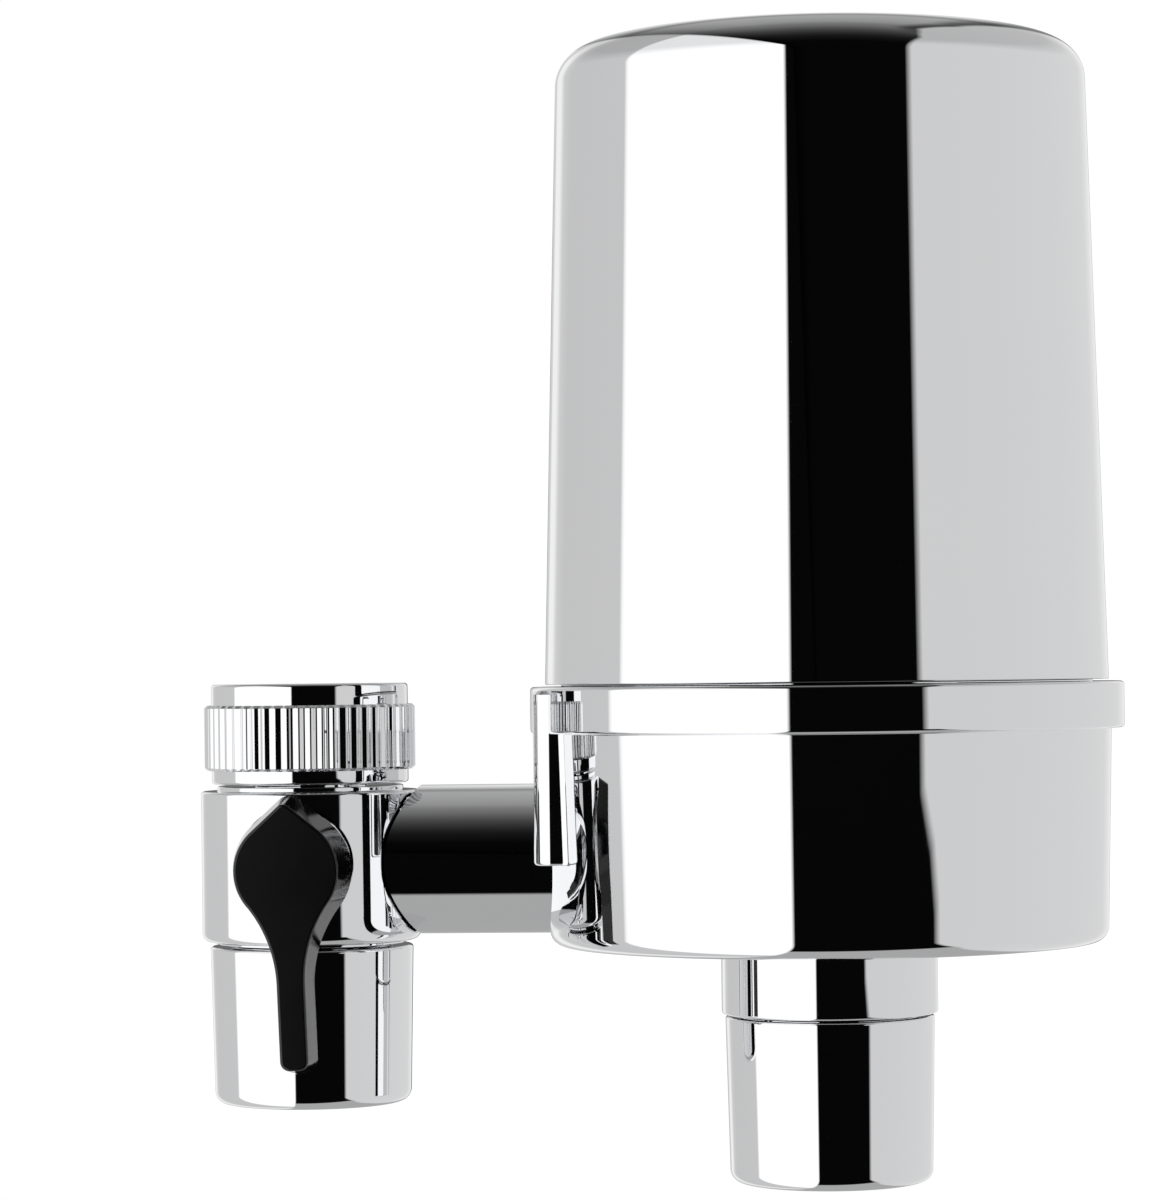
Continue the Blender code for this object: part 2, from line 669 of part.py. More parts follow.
def filter_base(axis, arm_axis, material):
    """Moulded base: ring, cup, saddle boss, arm socket, cartridge tower and outlet neck in one piece."""
    fillet = CUP_FILLET
    nipple_bore = NIPPLE_R + GAP
    profile = [
        (SKIRT_R + GAP, RING_TOP),
        (RING_R - RING_EDGE, RING_TOP),
        (RING_R, RING_TOP - RING_EDGE),
        (RING_R, RING_BOTTOM + RING_EDGE),
        (RING_R - RING_EDGE, RING_BOTTOM),
        (CUP_R, RING_BOTTOM),
        *arc(CUP_BOTTOM_R - fillet, CUP_BOTTOM + fillet, fillet, 0, -90, 4),
        (NECK_R, CUP_BOTTOM),
        (NECK_R, NECK_BOTTOM + NECK_EDGE),
        (NECK_R - NECK_EDGE, NECK_BOTTOM),
        (OUT_SPIGOT_R, NECK_BOTTOM),
        (OUT_SPIGOT_R, OUT_SPIGOT_END),
        (OUT_BORE_R, OUT_SPIGOT_END),
        (OUT_BORE_R, NIPPLE_END - GAP),
        (nipple_bore, NIPPLE_END - GAP),
        (nipple_bore, -TOWER_DROP),
        (TOWER_R, -TOWER_DROP),
        (TOWER_R, CUP_BOTTOM + CUP_FLOOR),
        (CUP_BORE_R, CUP_BOTTOM + CUP_FLOOR),
        (CUP_BORE_R, LEDGE_TOP),
        (SKIRT_R + GAP, LEDGE_TOP),
    ]
    base = turned("filter_base", profile, HOUSING_STEPS, axis, material)
    plan = boss_outline()
    boss = lofted(
        "saddle_boss", [(plan, -HOUSING_RISE - BOSS_OVERHANG), (plan, RING_TOP - RING_EDGE)], axis
    )
    combine(base, boss, "UNION")
    socket_r = ARM_TAIL_R + GAP
    wall_x = HOUSING_X - CUP_R
    inner_x = HOUSING_X - CUP_BORE_R
    socket_end = SOCKET_FLOOR_X + SOCKET_WALL
    block_start = (ARM_STEP_X + inner_x) / 2
    block = rod("socket_block", socket_r + SOCKET_WALL, block_start, socket_end, INNER_STEPS, arm_axis)
    combine(base, block, "UNION")
    arm_socket = [(ARM_R + GAP, ARM_STEP_X), (socket_r, SOCKET_FLOOR_X), (ARM_BORE_R, socket_end + GAP)]
    combine(base, stepped_bore("base_arm_socket", wall_x - ARM_R, arm_socket, VALVE_STEPS, arm_axis))
    return base


def cover(axis, material):
    """Tall drafted cover with a rounded and slightly crowned top, and a skirt that screws into the base."""
    top_r = COVER_RIM_R - COVER_HEIGHT * math.tan(COVER_DRAFT)
    edge_r = top_r - COVER_FILLET
    crown_steps = 3
    crown = []
    for i in range(crown_steps):
        share = i / crown_steps
        crown.append((edge_r * share, COVER_HEIGHT + COVER_CROWN * (1 - share ** 2)))
    profile = [
        *crown,
        *arc(edge_r, COVER_HEIGHT - COVER_FILLET, COVER_FILLET, 90, 0, 5),
        (COVER_RIM_R, 0.0),
        (SKIRT_R, 0.0),
        (SKIRT_R, -SKIRT_LENGTH),
        (COVER_BORE_R, -SKIRT_LENGTH),
        (COVER_BORE_TOP_R, CEILING),
        (0.0, CEILING),
    ]
    return turned("cover", profile, HOUSING_STEPS, axis, material)


def cover_gasket(axis, material):
    bottom = LEDGE_TOP + SEAL_GAP
    return tube(
        "cover_gasket", SKIRT_R, SKIRT_R - GASKET_WIDTH, bottom, bottom + GASKET_HEIGHT, HOUSING_STEPS, axis,
        material,
    )


def cartridge_cage(axis, material):
    """Perforated sleeve, with rows of windows between its ribs."""
    cage = tube(
        "cartridge_cage", CAGE_R, CAGE_R - CAGE_WALL, MEDIA_BOTTOM, MEDIA_TOP, CARTRIDGE_STEPS, axis, material
    )
    first = MEDIA_BOTTOM + CAP_RIM + CAGE_RIB
    pitch = (MEDIA_TOP - CAP_RIM - first) / CAGE_ROWS
    inside = CAGE_R - 3 * CAGE_WALL
    outside = CAGE_R + CAGE_WALL
    half = CAGE_WINDOW_WIDTH / 2
    work = bmesh.new()
    for row in range(CAGE_ROWS):
        low = first + row * pitch
        high = low + pitch - CAGE_RIB
        for column in range(CAGE_COLUMNS):
            angle = math.tau * (column + 0.5) / CAGE_COLUMNS
            along = (math.cos(angle), math.sin(angle))
            corners = []
            for height in (low, high):
                for radius, side in ((inside, -half), (outside, -half), (outside, half), (inside, half)):
                    x = radius * along[0] - side * along[1]
                    y = radius * along[1] + side * along[0]
                    corners.append(work.verts.new((x, y, height)))
            work.faces.new(corners[:4])
            work.faces.new(corners[4:])
            for i in range(4):
                j = (i + 1) % 4
                work.faces.new((corners[i], corners[j], corners[j + 4], corners[i + 4]))
    combine(cage, place("cage_windows", work, axis))
    return cage


def cartridge_caps(axis, material):
    """End caps whose rims hold the cage, with the sealed nipple below and a centre pip on top."""
    rim_in = CAGE_R + GAP
    plate_low = CAP_TOP - CAP_PLATE
    turned(
        "cartridge_top_cap",
        [
            (0.0, CEILING - GAP),
            (PIP_R, CEILING - GAP),
            (PIP_R, CAP_TOP),
            (CAP_RIM_R, CAP_TOP),
            (CAP_RIM_R, plate_low - CAP_RIM),
            (rim_in, plate_low - CAP_RIM),
            (rim_in, plate_low),
            (0.0, plate_low),
        ],
        CARTRIDGE_STEPS,
        axis,
        material,
    )
    plate_top = CAP_BOTTOM + CAP_PLATE
    grooves = [point for drop in NIPPLE_GROOVES for point in groove(NIPPLE_R, HUB_BOTTOM - drop)]
    turned(
        "cartridge_bottom_cap",
        [
            (rim_in, plate_top + CAP_RIM),
            (CAP_RIM_R, plate_top + CAP_RIM),
            (CAP_RIM_R, CAP_BOTTOM),
            (TOWER_R, CAP_BOTTOM),
            (TOWER_R, HUB_BOTTOM),
            (NIPPLE_R, HUB_BOTTOM),
            *grooves,
            (NIPPLE_R, NIPPLE_END),
            (NIPPLE_BORE_R, NIPPLE_END),
            (NIPPLE_BORE_R, plate_top),
            (rim_in, plate_top),
        ],
        CARTRIDGE_STEPS,
        axis,
        material,
    )


def cartridge_filling(axis, fabric, carbon):
    """A pleated sleeve round a hollow carbon block."""
    sleeve_r = (CAGE_R - CAGE_WALL) * math.cos(math.pi / CARTRIDGE_STEPS) - GAP
    block_r = sleeve_r - PREFILTER_WALL - GAP
    outline = []
    for i in range(2 * PLEAT_COUNT):
        radius = sleeve_r if i % 2 == 0 else sleeve_r - PLEAT_DEPTH
        angle = math.pi * i / PLEAT_COUNT
        outline.append((radius * math.cos(angle), radius * math.sin(angle)))
    sleeve = lofted("cartridge_prefilter", [(outline, MEDIA_BOTTOM), (outline, MEDIA_TOP)], axis, fabric)
    core = rod("prefilter_core", block_r + GAP, MEDIA_BOTTOM - GAP, MEDIA_TOP + GAP, CARTRIDGE_STEPS, axis)
    combine(sleeve, core)
    tube("cartridge_carbon", block_r, MEDIA_BORE_R, MEDIA_BOTTOM, MEDIA_TOP, CARTRIDGE_STEPS, axis, carbon)


def build():
    clear_scene()
    materials = {
        "chrome": make_material("chrome", (0.83, 0.84, 0.86), 0.04, 1.0),
        "black_plastic": make_material("black_plastic", (0.012, 0.012, 0.013), 0.28, 0.0),
        "rubber": make_material("rubber", (0.02, 0.02, 0.02), 0.7, 0.0),
        "brass": make_material("brass", (0.72, 0.55, 0.28), 0.25, 1.0),
        "steel": make_material("steel", (0.62, 0.62, 0.63), 0.3, 1.0),
        "white_plastic": make_material("white_plastic", (0.82, 0.82, 0.8), 0.4, 0.0),
        "carbon": make_material("carbon", (0.03, 0.03, 0.032), 0.9, 0.0),
        "fabric": make_material("fabric", (0.85, 0.85, 0.83), 0.85, 0.0),
    }
    valve_axis = make_axis("valve_axis", (0.0, 0.0, 0.0))
    lever_axis = make_axis("lever_axis", (0.0, 0.0, ARM_Z), (math.pi / 2, 0.0, 0.0))
    handle_axis = make_axis("handle_axis", (0.0, 0.0, 0.0), (0.0, 0.0, LEVER_TILT))
    handle_axis.parent = lever_axis
    arm_axis = make_axis("arm_axis", (0.0, 0.0, ARM_Z), (0.0, math.pi / 2, 0.0))
    housing_axis = make_axis("housing_axis", (HOUSING_X, 0.0, RIM_Z))

    collar_nut(valve_axis, materials["chrome"])
    inlet_sleeve(valve_axis, materials["brass"])
    inlet_screen(valve_axis, materials["steel"])
    tube(
        "spout_washer", HELD_R, SPOUT_WASHER_BORE_R, WASHER_BOTTOM, WASHER_BOTTOM + SPOUT_WASHER, INNER_STEPS,
        valve_axis, materials["rubber"],
    )
    valve_body(valve_axis, arm_axis, lever_axis, materials["chrome"])
    spindle(lever_axis, arm_axis, valve_axis, materials["brass"])
    for name, height in (("spindle_oring_front", FRONT_GROOVE), ("spindle_oring_rear", REAR_GROOVE)):
        oring(name, PLUG_BORE_R, PLUG_R - GROOVE_DEPTH, height, INNER_STEPS, lever_axis, materials["rubber"])
    spindle_gland(lever_axis, materials["brass"])
    lever(handle_axis, materials["black_plastic"])
    outlet_group(
        ("tap_outlet", "tap_outlet_washer", "tap_outlet_insert"), TAP_TOP, TAP_HEIGHT, TAP_R, TAP_TAPER,
        SPIGOT_R, SPIGOT_END, TAP_LEDGE, valve_axis, materials,
    )
    arm_tube(arm_axis, valve_axis, materials["chrome"])
    arm_seals = (("arm_oring_valve", ARM_START + GROOVE_INSET), ("arm_oring_base", ARM_END - GROOVE_INSET))
    for name, height in arm_seals:
        floor_r = ARM_TAIL_R - GROOVE_DEPTH
        oring(name, ARM_TAIL_R + GAP, floor_r, height, INNER_STEPS, arm_axis, materials["rubber"])
    filter_base(housing_axis, arm_axis, materials["chrome"])
    outlet_group(
        ("outlet_cap", "outlet_washer", "outlet_insert"), NECK_BOTTOM - GAP, OUT_CAP_HEIGHT,
        NECK_R - OUT_CAP_STEP, OUT_CAP_TAPER, OUT_SPIGOT_R, OUT_SPIGOT_END, OUT_CAP_LEDGE, housing_axis,
        materials,
    )
    cover(housing_axis, materials["chrome"])
    cover_gasket(housing_axis, materials["rubber"])
    cartridge_cage(housing_axis, materials["white_plastic"])
    cartridge_caps(housing_axis, materials["white_plastic"])
    cartridge_filling(housing_axis, materials["fabric"], materials["carbon"])
    for name, drop in zip(("cartridge_oring_upper", "cartridge_oring_lower"), NIPPLE_GROOVES):
        floor_r = NIPPLE_R - GROOVE_DEPTH
        height = HUB_BOTTOM - drop
        oring(name, NIPPLE_R + GAP, floor_r, height, CARTRIDGE_STEPS, housing_axis, materials["rubber"])


build()
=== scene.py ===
"""Looks of the faucet mount water filter: finishes, turned forms, knurl, threads, perforations and pleats.

Lengths are in metres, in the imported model's frame: the origin is on the valve's axis at the top rim of the
collar nut, +X runs along the arm to the housing, and the lever is in front, at -Y.
"""
import math

import bmesh
import bpy
from mathutils import Matrix, Vector


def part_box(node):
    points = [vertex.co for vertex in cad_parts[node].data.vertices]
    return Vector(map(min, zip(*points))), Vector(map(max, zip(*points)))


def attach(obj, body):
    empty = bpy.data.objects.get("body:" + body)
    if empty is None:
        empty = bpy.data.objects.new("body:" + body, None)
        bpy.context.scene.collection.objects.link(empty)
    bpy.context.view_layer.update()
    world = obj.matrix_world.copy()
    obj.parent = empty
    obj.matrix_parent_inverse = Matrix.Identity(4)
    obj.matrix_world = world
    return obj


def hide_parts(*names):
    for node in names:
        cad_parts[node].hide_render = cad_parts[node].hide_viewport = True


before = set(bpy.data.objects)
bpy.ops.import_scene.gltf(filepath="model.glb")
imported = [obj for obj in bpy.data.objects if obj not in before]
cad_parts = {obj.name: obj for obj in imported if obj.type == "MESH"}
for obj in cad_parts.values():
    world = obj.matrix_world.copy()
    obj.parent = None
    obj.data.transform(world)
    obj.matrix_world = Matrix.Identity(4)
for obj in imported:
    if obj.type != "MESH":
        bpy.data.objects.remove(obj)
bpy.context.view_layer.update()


def radius_of(node):
    """Radius of a turned node, from its width along X."""
    low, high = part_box(node)
    return (high.x - low.x) / 2


def bottom_of(node):
    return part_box(node)[0].z


MM = 0.001
GAP = 0.3 * MM
SEAL_GAP = 0.15 * MM
OBJECT_OUTPUT = "Object"

# Places and sizes read from the frame
ARM_R = (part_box("arm_tube")[1].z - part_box("arm_tube")[0].z) / 2
ARM_Z = bottom_of("arm_tube") + ARM_R
ARM_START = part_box("arm_tube")[0].x
ARM_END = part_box("arm_tube")[1].x
HOUSING_X = (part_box("cover")[0].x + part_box("cover")[1].x) / 2
BODY_R = radius_of("valve_body")

# Sizes that several pieces share
THREAD_PITCH = 1.0 * MM
COVER_PITCH = 2.0 * MM
PORT_R = 4.4 * MM
SPIGOT_BORE = 7.6 * MM
PLUG_R = 6.2 * MM
PLUG_REAR = -8.0 * MM
GLAND_R = 7.7 * MM
GLAND_FRONT = BODY_R + 0.4 * MM
GLAND_BACK = GLAND_FRONT - 4.9 * MM
SQUARE_END = GLAND_FRONT + 4.3 * MM
ARM_TAIL_R = 6.6 * MM
GROOVE_DEPTH = 1.2 * MM
SEAL_INSET = 2.0 * MM
TAP_SPIGOT_R = 10.9 * MM
HOUSING_SPIGOT_R = 12.2 * MM
TOWER_R = 14.2 * MM

# Steps round the turned pieces, and how far a cutter reaches past what it cuts
FINE_STEPS = 240
HOLE_STEPS = 24
PAST = 20.0 * MM

# The two outlets' nodes, and how much wider and lower than its solid the photograph shows the tap's
TAP_OUTLET_NODES = ("tap_outlet", "tap_outlet_washer", "tap_outlet_insert")
HOUSING_OUTLET_NODES = ("outlet_cap", "outlet_washer", "outlet_insert")
TAP_OUTLET_R = 14.2 * MM
TAP_LIP = 0.7 * MM

# The floor, and the photograph's view
FLOOR_Z = -0.12
FLOOR_RADIUS = 3.0
AIM = Vector((0.04, 0.0, 0.0))
CAMERA_PLACE = (0.0957, -0.5834, 0.0015)
CAMERA_AZIMUTH = math.radians(5.03)
CAMERA_RISE = math.radians(0.31)
CAMERA_ROLL = math.radians(-0.66)
CAMERA_LENS = 126.0
CAMERA_SHIFT = (-0.031, 0.039)

# Axes that the turned pieces are placed on, each with its local Z along the axis
VALVE_AXIS = Matrix.Identity(4)
HOUSING_AXIS = Matrix.Translation((HOUSING_X, 0.0, 0.0))
ARM_AXIS = Matrix.Translation((0.0, 0.0, ARM_Z)) @ Matrix.Rotation(math.pi / 2, 4, "Y")
LEVER_AXIS = Matrix.Translation((0.0, 0.0, ARM_Z)) @ Matrix.Rotation(math.pi / 2, 4, "X")


class Value:
    """A number in a node tree, which adds Math nodes when it is used in Python arithmetic."""

    def __init__(self, graph, socket):
        self.graph = graph
        self.socket = socket

    def maths(self, operation, *terms):
        return self.graph.add("ShaderNodeMath", {"operation": operation}, dict(enumerate(terms)))

    def __add__(self, other):
        return self.maths("ADD", self, other)

    def __radd__(self, other):
        return self.maths("ADD", other, self)

    def __sub__(self, other):
        return self.maths("SUBTRACT", self, other)

    def __rsub__(self, other):
        return self.maths("SUBTRACT", other, self)

    def __mul__(self, other):
        return self.maths("MULTIPLY", self, other)

    def __rmul__(self, other):
        return self.maths("MULTIPLY", other, self)

    def __truediv__(self, other):
        return self.maths("DIVIDE", self, other)

    def __pow__(self, other):
        return self.maths("POWER", self, other)


class Graph:
    """A node tree that is being filled."""

    def __init__(self, tree):
        self.tree = tree

    def add(self, kind, settings=None, inputs=None, output=0):
        """A node of some type, with its settings and its sockets' values or links; gives one output."""
        node = self.tree.nodes.new(kind)
        for name, setting in (settings or {}).items():
            if name == "stops":
                while len(node.color_ramp.elements) < len(setting):
                    node.color_ramp.elements.new(0.5)
                for element, (place, colour) in zip(node.color_ramp.elements, setting):
                    element.position = place
                    element.color = (*colour, 1.0)
            else:
                setattr(node, name, setting)
        for name, value in (inputs or {}).items():
            if isinstance(value, Value):
                self.tree.links.new(value.socket, node.inputs[name])
            elif isinstance(value, bpy.types.NodeSocket):
                self.tree.links.new(value, node.inputs[name])
            else:
                node.inputs[name].default_value = value
        return Value(self, node.outputs[output]) if node.outputs else node


def new_material(name):
    """A material with an empty tree, and the graph that fills it."""
    material = bpy.data.materials.new(name)
    material.use_nodes = True
    material.node_tree.nodes.clear()
    return material, Graph(material.node_tree)


def surface(graph, sockets):
    """The closing Principled shader of a material."""
    shader = graph.add("ShaderNodeBsdfPrincipled", None, sockets)
    graph.add("ShaderNodeOutputMaterial", None, {"Surface": shader})


def speckle(graph, scale, detail=2.0, stretch=(1.0, 1.0, 1.0)):
    """Noise on the piece's own coordinates, from 0 to 1."""
    place = graph.add("ShaderNodeTexCoord", output=OBJECT_OUTPUT)
    scaled = graph.add("ShaderNodeMapping", None, {"Vector": place, "Scale": stretch})
    return graph.add("ShaderNodeTexNoise", None, {"Vector": scaled, "Scale": scale, "Detail": detail})


def bumped(graph, height, distance):
    return graph.add("ShaderNodeBump", None, {"Height": height, "Distance": distance, "Strength": 1.0})


def blended(graph, factor, *ends):
    """A colour between two, each three numbers or a colour of the tree, mixed by a factor."""
    first, second = ((*end, 1.0) if isinstance(end, tuple) else end for end in ends)
    return graph.add("ShaderNodeMix", {"data_type": "RGBA"}, {0: factor, 6: first, 7: second}, output=2)


def greys(graph, place, stops, low, high):
    """A grey for each place along a range of angles or distances, from (place, grey) stops."""
    fits = [((stop - low) / (high - low), (grey, grey, grey)) for stop, grey in stops]
    return graph.add("ShaderNodeValToRGB", {"stops": fits}, {"Fac": (place - low) / (high - low)})


def chrome():
    """Bright plating over polished metal, with faint haze and a trace of waviness left by the polishing."""
    material, graph = new_material("bright_chrome")
    haze = speckle(graph, 260.0, 3.0)
    drift = speckle(graph, 34.0, 1.0)
    height = drift * 0.7 + haze * 0.03
    surface(graph, {
        "Base Color": blended(graph, drift, (0.875, 0.88, 0.895), (0.89, 0.892, 0.9)),
        "Metallic": 1.0,
        "Roughness": 0.012 + haze ** 3.0 * 0.03,
        "Normal": bumped(graph, height, 0.006 * MM),
    })
    return material


def lever_plastic():
    """Glossy black plastic with a fine moulded grain."""
    material, graph = new_material("lever_plastic")
    grain = speckle(graph, 2600.0, 2.0)
    drift = speckle(graph, 90.0, 2.0)
    surface(graph, {
        "Base Color": blended(graph, drift, (0.0012, 0.0012, 0.0014), (0.0022, 0.0022, 0.0024)),
        "Roughness": 0.1 + drift * 0.03,
        "Normal": bumped(graph, grain, 0.0006 * MM),
        "Specular IOR Level": 0.6,
    })
    return material


def seal_rubber():
    material, graph = new_material("seal_rubber")
    bloom = speckle(graph, 420.0, 4.0)
    surface(graph, {
        "Base Color": blended(graph, bloom, (0.012, 0.012, 0.012), (0.035, 0.034, 0.033)),
        "Roughness": 0.55 + bloom * 0.2,
        "Normal": bumped(graph, bloom, 0.02 * MM),
    })
    return material


def turned_metal(name, dark, bright, rough):
    """Machined metal with fine tool marks round the piece's own axis, which is upright."""
    material, graph = new_material(name)
    marks = speckle(graph, 900.0, 3.0, (0.02, 0.02, 1.0))
    tarnish = speckle(graph, 130.0, 3.0)
    surface(graph, {
        "Base Color": blended(graph, tarnish, dark, bright),
        "Metallic": 1.0,
        "Roughness": rough + marks * 0.14,
        "Normal": bumped(graph, marks, 0.006 * MM),
    })
    return material


def white_plastic():
    """Opaque white moulding, slightly mottled."""
    material, graph = new_material("white_plastic")
    mottle = speckle(graph, 150.0, 3.0)
    grain = speckle(graph, 1800.0, 2.0)
    surface(graph, {
        "Base Color": blended(graph, mottle, (0.76, 0.76, 0.745), (0.82, 0.82, 0.805)),
        "Roughness": 0.34 + mottle * 0.1,
        "Normal": bumped(graph, grain, 0.006 * MM),
    })
    return material


def carbon_block():
    """Pressed carbon grains."""
    material, graph = new_material("carbon_block")
    place = graph.add("ShaderNodeTexCoord", output=OBJECT_OUTPUT)
    grains = graph.add("ShaderNodeTexVoronoi", None, {"Vector": place, "Scale": 1500.0})
    clumps = speckle(graph, 500.0, 4.0)
    surface(graph, {
        "Base Color": blended(graph, clumps, (0.008, 0.008, 0.009), (0.045, 0.045, 0.047)),
        "Roughness": 0.7 + clumps * 0.25,
        "Normal": bumped(graph, grains + clumps, 0.12 * MM),
    })
    return material


def filter_fabric():
    """Bonded white fibres of the pleated sleeve."""
    material, graph = new_material("filter_fabric")
    along = speckle(graph, 1500.0, 3.0, (1.0, 1.0, 0.12))
    across = speckle(graph, 1300.0, 3.0, (0.15, 0.15, 1.0))
    fibres = along * 0.6 + across * 0.4
    surface(graph, {
        "Base Color": blended(graph, fibres, (0.62, 0.62, 0.6), (0.84, 0.84, 0.82)),
        "Roughness": 0.85,
        "Normal": bumped(graph, fibres, 0.1 * MM),
    })
    return material


CHROME = chrome()
LEVER_PLASTIC = lever_plastic()
RUBBER = seal_rubber()
BRASS = turned_metal("turned_brass", (0.52, 0.37, 0.16), (0.78, 0.6, 0.32), 0.2)
STEEL = turned_metal("screen_steel", (0.42, 0.42, 0.43), (0.62, 0.62, 0.64), 0.22)
WHITE = white_plastic()
CARBON = carbon_block()
FABRIC = filter_fabric()


def rounded(corners, closed=True, arc_step=9.0):
    """Profile points from (radius, height, fillet) corners, each fillet an arc tangent to both its sides."""
    points = []
    count = len(corners)
    for i, (r, z, fillet) in enumerate(corners):
        here = Vector((r, z))
        if fillet == 0.0 or (not closed and i in (0, count - 1)):
            points.append((r, z))
            continue
        back = Vector(corners[i - 1][:2]) - here
        ahead = Vector(corners[(i + 1) % count][:2]) - here
        opening = back.angle(ahead)
        turn = math.pi - opening
        reach = fillet * math.tan(turn / 2)
        start = here + back.normalized() * reach
        middle = back.normalized() + ahead.normalized()
        centre = here + middle.normalized() * (fillet / math.sin(opening / 2))
        spoke = start - centre
        side = 1.0 if spoke.x * (-back.y) - spoke.y * (-back.x) > 0 else -1.0
        steps = max(2, math.ceil(math.degrees(turn) / arc_step))
        for k in range(steps + 1):
            angle = side * turn * k / steps
            points.append((
                centre.x + spoke.x * math.cos(angle) - spoke.y * math.sin(angle),
                centre.y + spoke.x * math.sin(angle) + spoke.y * math.cos(angle),
            ))
    return points


def level_run(radius, start, end, spacing=0.14 * MM):
    """Corners without fillets along a straight wall, close enough together to carry a thread."""
    steps = max(1, round(abs(end - start) / spacing))
    return [(radius, start + (end - start) * i / steps, 0.0) for i in range(1, steps)]


def spun(profile, steps, closed=True):
    """A bmesh of a (radius, height) profile turned about Z."""
    work = bmesh.new()
    rings = []
    for r, z in profile:
        if r < 0.001 * MM:
            rings.append([work.verts.new((0.0, 0.0, z))] * steps)
        else:
            turns = [math.tau * i / steps for i in range(steps)]
            rings.append([work.verts.new((r * math.cos(t), r * math.sin(t), z)) for t in turns])
    follow = rings[1:] + rings[:1] if closed else rings[1:]
    for low, high in zip(rings, follow):
        for i in range(steps):
            j = (i + 1) % steps
            corners = list(dict.fromkeys((low[i], low[j], high[j], high[i])))
            if len(corners) > 2:
                work.faces.new(corners)
    return work


def square(half):
    return [(half, half), (-half, half), (-half, -half), (half, -half)]


def skin(work, loops):
    """Faces between each loop of points and the next, all with the same number of points."""
    for lower, upper in zip(loops, loops[1:]):
        for i in range(len(lower)):
            j = (i + 1) % len(lower)
            work.faces.new((lower[i], lower[j], upper[j], upper[i]))


def lofted(rings):
    """A bmesh that joins outlines with the same number of points, each a (points, height) pair."""
    work = bmesh.new()
    loops = [[work.verts.new((x, y, height)) for x, y in points] for points, height in rings]
    skin(work, loops)
    work.faces.new(loops[0])
    work.faces.new(loops[-1])
    return work


def piece_from(name, work, axis, material):
    """An object at the origin from a bmesh in an axis' own frame."""
    bmesh.ops.recalc_face_normals(work, faces=work.faces)
    mesh = bpy.data.meshes.new(name)
    work.to_mesh(mesh)
    work.free()
    mesh.transform(axis)
    mesh.materials.append(material)
    made = bpy.data.objects.new(name, mesh)
    bpy.context.scene.collection.objects.link(made)
    return made


def settle(piece):
    """Replace a piece's mesh by what its modifiers make of it."""
    graph = bpy.context.evaluated_depsgraph_get()
    mesh = bpy.data.meshes.new_from_object(piece.evaluated_get(graph))
    piece.modifiers.clear()
    piece.data = mesh
    return piece


def cut(piece, tool, operation="DIFFERENCE"):
    """Cut a tool from a piece, or fuse it on, and remove the tool."""
    modifier = piece.modifiers.new("cut", "BOOLEAN")
    modifier.operation = operation
    modifier.object = tool
    modifier.solver = "EXACT"
    settle(piece)
    bpy.data.objects.remove(tool)
    return piece


def dress(piece, body, slot, *nodes, sharp=32.0):
    """Smooth shading that keeps true edges, then the piece's body and the nodes it stands for; the slot is
    not used.
    """
    piece.data.shade_smooth()
    piece.data.set_sharp_from_angle(angle=math.radians(sharp))
    modifier = piece.modifiers.new("even", "WEIGHTED_NORMAL")
    modifier.keep_sharp = True
    modifier.weight = 90
    settle(piece)
    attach(piece, body)
    if nodes:
        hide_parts(*nodes)
    return piece


def new_geometry_tree(name, sockets):
    """A Geometry Nodes tree with a geometry way in and out, a material, and named number inputs."""
    tree = bpy.data.node_groups.new(name, "GeometryNodeTree")
    tree.interface.new_socket("Geometry", in_out="OUTPUT", socket_type="NodeSocketGeometry")
    tree.interface.new_socket("Geometry", in_out="INPUT", socket_type="NodeSocketGeometry")
    tree.interface.new_socket("Finish", in_out="INPUT", socket_type="NodeSocketMaterial")
    for socket, kind in sockets.items():
        tree.interface.new_socket(socket, in_out="INPUT", socket_type="NodeSocket" + kind)
    graph = Graph(tree)
    entry = tree.nodes.new("NodeGroupInput")
    return graph, {socket.name: Value(graph, socket) for socket in entry.outputs if socket.name}


def close_geometry_tree(graph, geometry, finish):
    real = graph.add("GeometryNodeRealizeInstances", None, {"Geometry": geometry})
    done = graph.add("GeometryNodeSetMaterial", None, {"Geometry": real, "Material": finish})
    graph.add("NodeGroupOutput", None, {0: done})
    return graph.tree


def grooves_tree():
    """Grooves cut along a turned wall: straight ones for a knurl or pleats, and a helix for a thread."""
    graph, given = new_geometry_tree("grooves", {
        "Count": "Float", "Turns per metre": "Float", "Depth": "Float", "Low": "Float", "High": "Float",
        "Run-out": "Float", "Inner": "Float", "Outer": "Float", "Steepness": "Float",
    })
    spot = graph.add("GeometryNodeInputPosition")
    split = graph.add("ShaderNodeSeparateXYZ", None, {0: spot})
    x, y, z = (Value(graph, socket) for socket in split.socket.node.outputs)
    angle = y.maths("ARCTAN2", y, x)
    radius = (x * x + y * y) ** 0.5
    phase = angle * given["Count"] / math.tau + z * given["Turns per metre"]
    ridge = phase.maths("ABSOLUTE", phase.maths("FRACT", phase) * 2.0 - 1.0)
    shaped = (ridge - 0.5) * given["Steepness"] + 0.5
    wave = shaped.maths("MINIMUM", shaped.maths("MAXIMUM", shaped, 0.0), 1.0)
    above = (z - given["Low"]) / given["Run-out"]
    below = (given["High"] - z) / given["Run-out"]
    fade = above.maths("MINIMUM", above.maths("MAXIMUM", above.maths("MINIMUM", above, below), 0.0), 1.0)
    on_wall = radius.maths("GREATER_THAN", radius, given["Inner"])
    on_wall = on_wall * radius.maths("LESS_THAN", radius, given["Outer"])
    outward = given["Depth"] * wave * fade * on_wall / radius
    flat = graph.add("ShaderNodeCombineXYZ", None, {0: x * outward, 1: y * outward})
    moved = graph.add("GeometryNodeSetPosition", None, {"Geometry": given["Geometry"], "Offset": flat})
    return close_geometry_tree(graph, moved, given["Finish"])


